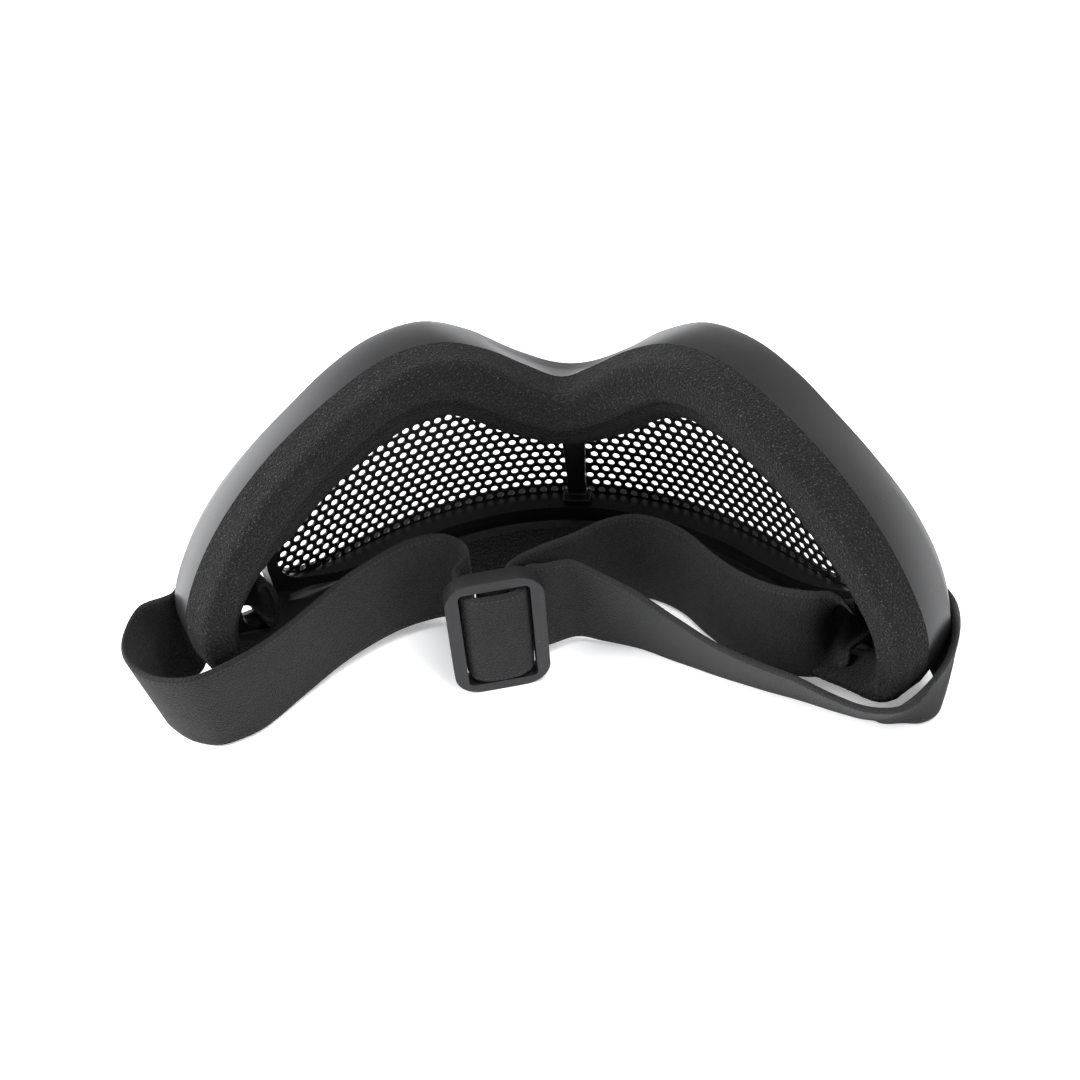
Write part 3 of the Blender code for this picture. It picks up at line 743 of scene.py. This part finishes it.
def noise_at(tree, spot, scale, detail, rough=0.5):
    """Add a noise and give its value."""
    node = add(tree, "ShaderNodeTexNoise", Vector=spot, Scale=scale, Detail=detail, Roughness=rough)
    return node.outputs[0]


def cells_at(tree, spot, scale):
    """Add a pattern of cells and give its distance and its colour."""
    return add(tree, "ShaderNodeTexVoronoi", {"feature": "F1"}, Vector=spot, Scale=scale).outputs


def open_group(name, inputs, outputs):
    """Make a group of value sockets, or give the known one of that name without its end nodes."""
    known = bpy.data.node_groups.get(name)
    if known:
        return known, None, None
    tree = bpy.data.node_groups.new(name, "ShaderNodeTree")
    for label, value in inputs.items():
        socket = tree.interface.new_socket(label, in_out="INPUT", socket_type="NodeSocketFloat")
        socket.default_value = value
    for label in outputs:
        tree.interface.new_socket(label, in_out="OUTPUT", socket_type="NodeSocketFloat")
    return tree, tree.nodes.new("NodeGroupInput").outputs, tree.nodes.new("NodeGroupOutput")


def moulded_grain():
    """Fine moulding grain with slow waviness, faint scuffs and dust."""
    tree, given, result = open_group(
        "moulded grain", {"Grain": 2600.0, "Wave": 60.0, "Scuff": 0.5}, ("Height", "Wear", "Dust"))
    if result:
        calc = partial(maths, tree)
        mask = partial(ramp, tree)
        spot = add(tree, "ShaderNodeTexCoord").outputs["Object"]
        fine = noise_at(tree, spot, given["Grain"], 3.0)
        slow = noise_at(tree, spot, given["Wave"], 2.0)
        long_way = add(tree, "ShaderNodeMapping", Vector=spot, Scale=(260.0, 900.0, 1500.0)).outputs[0]
        streak = noise_at(tree, long_way, 1.0, 5.0, 0.7)
        patch = noise_at(tree, spot, 90.0, 2.0)
        wear = calc("MULTIPLY", mask(streak, 0.56, 0.72), mask(patch, 0.45, 0.65))
        speck = cells_at(tree, spot, 850.0)
        lot = add(tree, "ShaderNodeSeparateColor", i0=speck["Color"]).outputs[0]
        near = calc("SUBTRACT", 1.0, mask(speck["Distance"], 0.08, 0.20))
        feed(
            tree, result,
            Height=calc("MULTIPLY_ADD", slow, 1.5, fine),
            Wear=calc("MULTIPLY", wear, given["Scuff"]),
            Dust=calc("MULTIPLY", near, calc("GREATER_THAN", lot, 0.90)))
    return tree


def elastic_weave():
    """Ribs and picks of a woven elastic with a stitched selvedge, drawn on the band's own map."""
    tree, given, result = open_group(
        "elastic weave", {"Yarn": 0.0006, "Width": 0.025, "Selvedge": 0.0012}, ("Height", "Shade", "Stitch"))
    if result:
        calc = partial(maths, tree)
        mask = partial(ramp, tree)
        band = add(tree, "ShaderNodeUVMap", {"uv_map": "band"}).outputs[0]
        along, across = add(tree, "ShaderNodeSeparateXYZ", i0=band).outputs[:2]
        spot = add(tree, "ShaderNodeTexCoord").outputs["Object"]

        # Ribs and picks, with some yarns pushed off their line
        drift = calc("SUBTRACT", noise_at(tree, spot, 900.0, 3.0), 0.5)
        off = calc("MULTIPLY", drift, calc("MULTIPLY", given["Yarn"], 3.0))
        rib = calc("DIVIDE", calc("ADD", across, off), given["Yarn"])
        pick = calc("DIVIDE", calc("ADD", along, off), calc("MULTIPLY", given["Yarn"], 1.15))
        body = calc("ABSOLUTE", calc("SINE", calc("MULTIPLY", rib, math.pi)))
        odd = calc("MULTIPLY", calc("FLOOR", rib), math.pi)
        beat = calc("SINE", calc("ADD", calc("MULTIPLY", pick, 2 * math.pi), odd))
        knot = calc("MULTIPLY", body, calc("MULTIPLY_ADD", beat, 0.5, 0.5))
        fuzz = noise_at(tree, spot, 3200.0, 3.0)
        pebble = cells_at(tree, spot, 2300.0)["Distance"]

        # Stitch line beside each edge
        half = calc("MULTIPLY", given["Width"], 0.5)
        edge = calc("SUBTRACT", half, calc("ABSOLUTE", calc("SUBTRACT", across, half)))
        from_line = calc("ABSOLUTE", calc("SUBTRACT", edge, given["Selvedge"]))
        line = calc("SUBTRACT", 1.0, mask(from_line, 0.00012, 0.00030))
        tick = calc("FRACT", calc("DIVIDE", along, STITCH))
        dash = calc("MULTIPLY", mask(tick, 0.10, 0.22), calc("SUBTRACT", 1.0, mask(tick, 0.62, 0.74)))
        stitch = calc("MULTIPLY", line, dash)

        height = calc("MULTIPLY_ADD", fuzz, 0.5, calc("MULTIPLY", knot, 0.45))
        height = calc("SUBTRACT", height, calc("MULTIPLY", pebble, 1.1))
        height = calc("SUBTRACT", height, calc("MULTIPLY", line, 1.4))
        slow = calc("MULTIPLY", noise_at(tree, spot, 110.0, 3.0), 0.6)
        shade = calc("ADD", calc("MULTIPLY_ADD", knot, 0.25, slow), 0.25)
        feed(
            tree, result,
            Height=calc("ADD", height, stitch),
            Shade=calc("SUBTRACT", shade, calc("MULTIPLY", pebble, 0.35)),
            Stitch=stitch)
    return tree


def fibre_flecks():
    """Felt-like fibres: a broken grain with scattered light flecks."""
    tree, given, result = open_group(
        "fibre flecks", {"Grain": 900.0, "Amount": 0.5}, ("Height", "Fleck", "Shade"))
    if result:
        calc = partial(maths, tree)
        spot = add(tree, "ShaderNodeTexCoord").outputs["Object"]
        coarse = noise_at(tree, spot, given["Grain"], 4.0, 0.65)
        cell = cells_at(tree, spot, calc("MULTIPLY", given["Grain"], 1.6))["Distance"]
        grain = noise_at(tree, spot, calc("MULTIPLY", given["Grain"], 2.3), 3.0, 0.7)
        feed(
            tree, result,
            Height=calc("SUBTRACT", calc("MULTIPLY", coarse, 1.8), cell),
            Fleck=calc("MULTIPLY", ramp(tree, grain, 0.56, 0.72), given["Amount"]),
            Shade=noise_at(tree, spot, 120.0, 3.0))
    return tree


def new_material(name):
    """Make an empty material and give its tree and its Principled shader."""
    made = bpy.data.materials.new(name)
    made.use_nodes = True
    return made, made.node_tree, made.node_tree.nodes["Principled BSDF"]


def use_group(tree, group, **inputs):
    """Place a node group in a material with its own values."""
    return add(tree, "ShaderNodeGroup", {"node_tree": group}, **inputs).outputs


def grey(value, blue=0.0):
    """Opaque grey, with a little more blue if asked."""
    return (value, value, value + blue, 1.0)


def scaled(colour, share, lift=0.0):
    """A colour made darker or lighter, as an opaque one."""
    return (*(min(1.0, c * share + lift) for c in colour), 1.0)


def bump(tree, height, distance):
    """Turn a height into a normal."""
    return add(tree, "ShaderNodeBump", Height=height, Distance=distance, Strength=1.0).outputs[0]


def plastic(name, colour, roughness, grain, relief, scuff):
    """Moulded black plastic."""
    made, tree, shader = new_material(name)
    surface = use_group(tree, moulded_grain(), Grain=grain, Wave=70.0, Scuff=scuff)
    tint = blend(tree, surface["Wear"], scaled(colour, 1.0), scaled(colour, 2.1, 0.012))
    feed(
        tree, shader,
        Base_Color=blend(tree, surface["Dust"], tint, grey(0.045, 0.002)),
        Roughness=maths(tree, "MULTIPLY_ADD", surface["Wear"], 0.18, roughness),
        Specular_IOR_Level=0.30,
        Normal=bump(tree, surface["Height"], relief))
    return made


def coated_steel(colour):
    """Black coating on pierced steel sheet."""
    made, tree, shader = new_material("coated steel")
    surface = use_group(tree, moulded_grain(), Grain=3400.0, Wave=260.0, Scuff=1.0)
    feed(
        tree, shader,
        Base_Color=blend(tree, surface["Wear"], scaled(colour, 1.0), grey(0.070, 0.002)),
        Roughness=maths(tree, "MULTIPLY_ADD", surface["Wear"], -0.15, 0.46),
        Metallic=0.35,
        Normal=bump(tree, surface["Height"], 0.00002))
    return made


def felted_foam(colour, fleck):
    """Dark open foam with a felt-like face, darkened by painted shade on the slope towards the mesh."""
    made, tree, shader = new_material("felted foam")
    surface = use_group(tree, fibre_flecks(), Grain=1250.0, Amount=0.9)
    # The slope mask says where the painted shade lies: on the foam's inner slope towards the mesh.
    slope = add(tree, "ShaderNodeAttribute", {"attribute_name": "slope"}).outputs["Fac"]
    tint = blend(tree, surface["Shade"], scaled(colour, 0.55), scaled(colour, 1.0))
    tint = blend(tree, surface["Fleck"], tint, scaled(fleck, 1.0))
    # Darker copy of the foam colour with its flecks: painted shade for the slope.
    slope_painted_shade = blend(tree, surface["Fleck"], scaled(colour, 0.35), scaled(colour, 1.0))
    feed(
        tree, shader,
        Base_Color=blend(tree, slope, tint, slope_painted_shade),
        Roughness=0.95,
        Specular_IOR_Level=0.10,
        Sheen_Weight=0.03,
        Sheen_Roughness=0.6,
        Normal=bump(tree, surface["Height"], 0.00040))
    return made


def woven_elastic(colour, yarn, selvedge):
    """Black woven elastic with faint fibres and a stitch line."""
    made, tree, shader = new_material("woven elastic")
    weave = use_group(tree, elastic_weave(), Yarn=yarn, Width=STRAP_WIDTH, Selvedge=selvedge)
    fluff = use_group(tree, fibre_flecks(), Grain=1700.0, Amount=0.35)
    stitch = maths(tree, "MULTIPLY", weave["Stitch"], 0.35)
    tint = blend(tree, weave["Shade"], scaled(colour, 0.45), scaled(colour, 1.5))
    tint = blend(tree, fluff["Fleck"], tint, grey(0.050, 0.001))
    feed(
        tree, shader,
        Base_Color=blend(tree, stitch, tint, grey(0.045, 0.001)),
        Roughness=0.82,
        Specular_IOR_Level=0.18,
        Sheen_Weight=0.03,
        Normal=bump(tree, weave["Height"], 0.00016))
    return made


# Pieces

def make_shell(settings):
    """Moulded shell with a slot in each temple."""
    shell = loft("moulded_shell", [shell_section(station) for station in ring_stations(settings.steps)])
    mirror(shell)
    helpers = []
    depth = SHELL_DEPTH - WALL - GAP + EAR_DROP
    middle = -SHELL_DEPTH + WALL + GAP + depth / 2
    for side in (-1, 1):
        cutter = rounded_block("slot_cutter", (SLOT_WIDTH, depth, SLOT_HEIGHT), SLOT_ROUND, 8)
        cutter.location = wrap(side * SLOT_S, SLOT_Z, middle)
        cutter.rotation_euler = (0.0, 0.0, -side * math.atan(ARM_SLOPE))
        boolean(shell, cutter, "DIFFERENCE")
        helpers.append(cutter)
    bevel(shell, settings.edge, 3, 28.0)
    settle(shell, 50.0, helpers)
    paint = plastic("satin shell plastic", settings.colour, settings.roughness, 2600.0, 0.00002, 0.5)
    place_piece(shell, paint, "satin_black_plastic", "frame")
    return shell


def make_nose_bar(settings):
    """Bar between the eyes with its foot on the brow ledge."""
    front = -(HALF_SHEET + 2 * GAP)
    foot = SILL + GAP
    top = SILL + RING[0].open_z * OPEN_RISE - GAP
    rows = (
        (foot, FOOT_WIDTH, FOOT_DEPTH),
        (foot + FOOT_HEIGHT * 0.8, FOOT_WIDTH, FOOT_DEPTH),
        (foot + FOOT_HEIGHT, BAR_FOOT, BAR_DEPTH),
        (foot + FOOT_HEIGHT * 4, BAR_FOOT, BAR_DEPTH),
        (top - FOOT_HEIGHT * 2, BAR_TOP, BAR_DEPTH),
        (top, BAR_TOP, BAR_DEPTH),
    )
    corners = ((-0.5, 0.0), (0.5, 0.0), (0.5, -1.0), (-0.5, -1.0))
    sections = [[wrap(a * width, z, front + b * depth) for a, b in corners] for z, width, depth in rows]
    bar = loft("nose_post", sections, capped=True)
    bevel(bar, settings.edge, 3, 30.0)
    settle(bar, 50.0)
    paint = plastic("smooth bar plastic", tuple(c * 0.6 for c in settings.colour), 0.36, 3000.0, 0.00001, 0.3)
    place_piece(bar, paint, "gloss_black_plastic", "nose_bar")
    return bar


def hole_rows(outline, pitch, hole, strip):
    """Centres of the holes: level rows, each half a pitch off the last, the same on both sides."""
    centres = []
    margin = hole * HOLE_MARGIN
    row_step = pitch * math.sqrt(3) / 2
    for row in range(math.ceil(OPEN_RISE / row_step) + 2):
        z = SILL + margin + row * row_step
        for k in range(math.ceil(OPEN_SPAN / pitch) + 1):
            s = strip + (k + 0.5 * (row % 2)) * pitch
            centre = Vector((s, z))
            if inside(centre, outline) and min((centre - point).length for point in outline) > margin:
                centres += [centre, Vector((-s, z))]
    return centres


def make_mesh(settings):
    """Pierced sheet, laid out flat and bent to the wrap."""
    reach = GROOVE - GAP
    half = [station.open - station.open_in * reach for station in ring_stations(MESH_STEPS)]
    outline = half + [Vector((-point.x, point.y)) for point in reversed(half[1:-1])]
    loops = [outline]
    corners = [2 * math.pi * (k + 0.5) / HOLE_CORNERS for k in range(HOLE_CORNERS)]
    for centre in hole_rows(outline, settings.pitch, settings.hole, settings.strip):
        loops.append([centre + settings.hole / 2 * Vector((math.cos(a), math.sin(a))) for a in corners])
    points = [point for loop in loops for point in loop]
    owner = [k for k, loop in enumerate(loops) for _ in loop]
    steel = []
    for face in delaunay_2d_cdt(points, [], [], 0, 1e-7, False)[2]:
        owners = {owner[k] for k in face}
        middle = sum((points[k] for k in face), Vector((0.0, 0.0))) / 3
        if not (len(owners) == 1 and owners != {0}) and inside(middle, outline):
            steel.append(face)
    mesh = bpy.data.meshes.new("pierced_sheet")
    mesh.from_pydata([wrap(point.x, point.y, 0.0) for point in points], [], steel)
    sheet = link(bpy.data.objects.new("pierced_sheet", mesh))
    thick = sheet.modifiers.new("Sheet", "SOLIDIFY")
    thick.thickness = settings.sheet
    thick.offset = 0.0
    settle(sheet, 40.0)
    place_piece(sheet, coated_steel(settings.colour), "black_steel", "mesh_lens")
    return sheet


def make_foam(settings):
    """Foam ring with a felt-like nap."""
    points = FOAM_POINTS
    stations = ring_stations(FOAM_STEPS)
    profiles = [foam_profile(station, points) for station in stations]
    foam = loft("foam_ring", [foam_section(*pair) for pair in zip(stations, profiles)])
    pile = foam.data.attributes.new("pile", "FLOAT", "POINT")
    for k, value in enumerate(pile.data):
        value.value = smooth_step(min(k % points, points - 1 - k % points) / BARE_POINTS)
    # Mask for the painted shade: it rises from the flat face onto the inner slope towards the mesh.
    slope = foam.data.attributes.new("slope", "FLOAT", "POINT")
    face = -SHELL_DEPTH - FOAM_DEPTH
    for k, value in enumerate(slope.data):
        across, n = profiles[k // points][k % points]
        if across > stations[k // points].band / 2:
            value.value = smooth_step((n - face) / FOAM_ROUND - 0.2)
    mirror(foam)
    settle(foam, 60.0)
    heights = [value.value for value in foam.data.attributes["pile"].data]
    normals = [vertex.normal.copy() for vertex in foam.data.vertices]
    for vertex, normal, height in zip(foam.data.vertices, normals, heights):
        spot = vertex.co
        grain = noise.noise(spot * COARSE_NAP) * 0.6 + noise.noise(spot * FINE_NAP) * 0.4
        swell = noise.noise(spot * SLOW_NAP)
        vertex.co = spot + normal * settings.nap * height * (grain + 0.6 * swell - 0.5)
    place_piece(foam, felted_foam(settings.colour, settings.fleck), "dark_foam", "foam_pad")
    return foam


def make_strap(settings):
    """One elastic band through both slots and the slider."""
    rows = strap_rows()
    before = [2 * a - b for a, b in zip(rows[0], rows[1])]
    after = [2 * a - b for a, b in zip(rows[-1], rows[-2])]
    rows = curve_through([before, *rows, after], STRAP_STEPS, place=3)
    places = [Vector(row[0:3]) for row in rows]
    steered = [places[0] * 2 - places[1], *places, places[-1] * 2 - places[-2]]
    profile = strap_profile(STRAP_POINTS)
    lengths = [0.0]
    for here, there in zip(places, places[1:]):
        lengths.append(lengths[-1] + (there - here).length)
    sections = []
    for i, row in enumerate(rows):
        along = steered[i + 2] - steered[i]
        level = Vector((along.x, along.y, 0.0)).normalized()
        section = strap_section(places[i], level, row[3:5], row[5], profile)
        lift = max(0.0, -min(point.z for point in section))
        sections.append([point + Vector((0.0, 0.0, lift)) for point in section])
    across = [(share + 1) / 2 * STRAP_WIDTH for share, _ in profile]
    strap = loft("elastic_band", sections, True, lengths, across + across[::-1])
    settle(strap, 60.0)
    paint = woven_elastic(settings.colour, settings.yarn, settings.selvedge)
    place_piece(strap, paint, "black_elastic", "strap")
    return strap


def make_slider(settings):
    """Plastic slider with a window and a middle bar."""
    window = STRAP_WIDTH + 2 * WINDOW_PLAY
    height = window + 2 * SLIDER_END
    width = SLIDER_WINDOW + 2 * SLIDER_SIDE
    slider = rounded_block("strap_slider", (width, SLIDER_THICK, height), SLIDER_CORNER, 14)
    hole = rounded_block("window_cutter", (SLIDER_WINDOW, 2 * SLIDER_THICK, window), WINDOW_CORNER, 8)
    bar_size = (MIDDLE_BAR, MIDDLE_THICK, window + SLIDER_END)
    bar = rounded_block("middle_bar", bar_size, MIDDLE_CORNER, 2)
    bar.location.y = (SLIDER_THICK - MIDDLE_THICK) / 2 - MIDDLE_INSET
    boolean(slider, hole, "DIFFERENCE")
    boolean(slider, bar, "UNION")
    bevel(slider, settings.edge, 4, 50.0)
    settle(slider, 40.0, [hole, bar])
    turn = Matrix.Rotation(math.radians(SLIDER_TURN), 4, "Z")
    slider.data.transform(Matrix.Translation((SLIDER_X, SLIDER_Y, height / 2)) @ turn)
    paint = plastic("matt slider plastic", settings.colour, 0.52, 2200.0, 0.00003, 0.6)
    place_piece(slider, paint, "matt_black_plastic", "slider")
    return slider


def hang(lamp, power):
    """Hang a square soft lamp that faces its target."""
    data = bpy.data.lights.new(lamp.name, "AREA")
    data.size = lamp.size
    data.energy = power * lamp.share
    made = link(bpy.data.objects.new(lamp.name, data))
    made.location = lamp.place
    made.rotation_euler = (Vector(lamp.target) - Vector(lamp.place)).to_track_quat("-Z", "Y").to_euler()


def make_stage(settings):
    """Pale floor, soft studio light and the camera."""
    scene = bpy.context.scene
    build = bmesh.new()
    bmesh.ops.create_grid(build, x_segments=1, y_segments=1, size=4.0)
    floor = finished(build, "floor")
    floor.location.z = -FLOOR_DROP
    made, tree, shader = new_material("pale floor")
    feed(
        tree, shader,
        Base_Color=(*settings.floor, 1.0),
        Roughness=0.9,
        Specular_IOR_Level=0.1,
        Emission_Color=grey(1.0),
        Emission_Strength=settings.glow)
    floor.data.materials.append(made)
    world = scene.world or bpy.data.worlds.new("studio")
    scene.world = world
    world.use_nodes = True
    sky = world.node_tree.nodes["Background"]
    feed(world.node_tree, sky, Color=grey(1.0), Strength=settings.sky)
    for lamp in LAMPS:
        hang(lamp, settings.key)
    data = bpy.data.cameras.new("camera")
    data.lens = settings.lens
    data.sensor_width = 36.0
    data.clip_start = 0.01
    camera = link(bpy.data.objects.new("camera", data))
    aim = Euler((math.radians(90 - CAMERA_ELEVATION), 0.0, math.radians(CAMERA_AZIMUTH))).to_matrix()
    roll = Matrix.Rotation(math.radians(CAMERA_ROLL), 3, "Z")
    camera.matrix_world = Matrix.Translation(CAMERA_PLACE) @ (aim @ roll).to_4x4()
    scene.camera = camera
    scene.view_settings.view_transform = "Standard"


class GOGGLES_OT_shell(bpy.types.Operator):
    """Build the moulded shell"""
    bl_idname = "goggles.shell"
    bl_label = "Shell"

    def execute(self, context):
        make_shell(context.scene.goggles_shell)
        return {"FINISHED"}


class GOGGLES_OT_nose_bar(bpy.types.Operator):
    """Build the bar between the eyes"""
    bl_idname = "goggles.nose_bar"
    bl_label = "Nose bar"

    def execute(self, context):
        make_nose_bar(context.scene.goggles_shell)
        return {"FINISHED"}


class GOGGLES_OT_mesh(bpy.types.Operator):
    """Build the pierced mesh"""
    bl_idname = "goggles.mesh"
    bl_label = "Mesh"

    def execute(self, context):
        make_mesh(context.scene.goggles_mesh)
        return {"FINISHED"}


class GOGGLES_OT_foam(bpy.types.Operator):
    """Build the foam ring"""
    bl_idname = "goggles.foam"
    bl_label = "Foam"

    def execute(self, context):
        make_foam(context.scene.goggles_foam)
        return {"FINISHED"}


class GOGGLES_OT_strap(bpy.types.Operator):
    """Build the elastic strap"""
    bl_idname = "goggles.strap"
    bl_label = "Strap"

    def execute(self, context):
        make_strap(context.scene.goggles_strap)
        return {"FINISHED"}


class GOGGLES_OT_slider(bpy.types.Operator):
    """Build the strap slider"""
    bl_idname = "goggles.slider"
    bl_label = "Slider"

    def execute(self, context):
        make_slider(context.scene.goggles_slider)
        return {"FINISHED"}


class GOGGLES_OT_stage(bpy.types.Operator):
    """Set up the floor, the lights and the camera"""
    bl_idname = "goggles.stage"
    bl_label = "Stage"

    def execute(self, context):
        make_stage(context.scene.goggles_stage)
        return {"FINISHED"}


class GOGGLES_PT_panel(bpy.types.Panel):
    """Sizes, colours and pieces of the goggles"""
    bl_idname = "GOGGLES_PT_panel"
    bl_label = "Goggles"
    bl_space_type = "VIEW_3D"
    bl_region_type = "UI"
    bl_category = "Goggles"

    def draw(self, context):
        for name, group, operators in PANEL_ROWS:
            box = self.layout.box()
            box.label(text=name)
            settings = getattr(context.scene, group)
            for key in settings.__annotations__:
                box.prop(settings, key)
            for operator in operators:
                box.operator(operator)


PANEL_ROWS = (
    ("Shell", "goggles_shell", ("goggles.shell", "goggles.nose_bar")),
    ("Mesh", "goggles_mesh", ("goggles.mesh",)),
    ("Foam", "goggles_foam", ("goggles.foam",)),
    ("Strap", "goggles_strap", ("goggles.strap",)),
    ("Slider", "goggles_slider", ("goggles.slider",)),
    ("Stage", "goggles_stage", ("goggles.stage",)),
)
SETTINGS = {
    "goggles_shell": ShellSettings,
    "goggles_mesh": MeshSettings,
    "goggles_foam": FoamSettings,
    "goggles_strap": StrapSettings,
    "goggles_slider": SliderSettings,
    "goggles_stage": StageSettings,
}
OPERATORS = (
    GOGGLES_OT_shell,
    GOGGLES_OT_nose_bar,
    GOGGLES_OT_mesh,
    GOGGLES_OT_foam,
    GOGGLES_OT_strap,
    GOGGLES_OT_slider,
    GOGGLES_OT_stage,
)


def register():
    """Register the settings, the operators and the panel."""
    for name, group in SETTINGS.items():
        bpy.utils.register_class(group)
        setattr(bpy.types.Scene, name, bpy.props.PointerProperty(type=group))
    for operator in OPERATORS:
        bpy.utils.register_class(operator)
    bpy.utils.register_class(GOGGLES_PT_panel)


def unregister():
    """Take everything back out."""
    bpy.utils.unregister_class(GOGGLES_PT_panel)
    for operator in reversed(OPERATORS):
        bpy.utils.unregister_class(operator)
    for name, group in SETTINGS.items():
        delattr(bpy.types.Scene, name)
        bpy.utils.unregister_class(group)


def main():
    """Build every piece and the stage."""
    register()
    bpy.ops.goggles.shell()
    bpy.ops.goggles.nose_bar()
    bpy.ops.goggles.mesh()
    bpy.ops.goggles.foam()
    bpy.ops.goggles.strap()
    bpy.ops.goggles.slider()
    bpy.ops.goggles.stage()


if __name__ == "__main__":
    main()
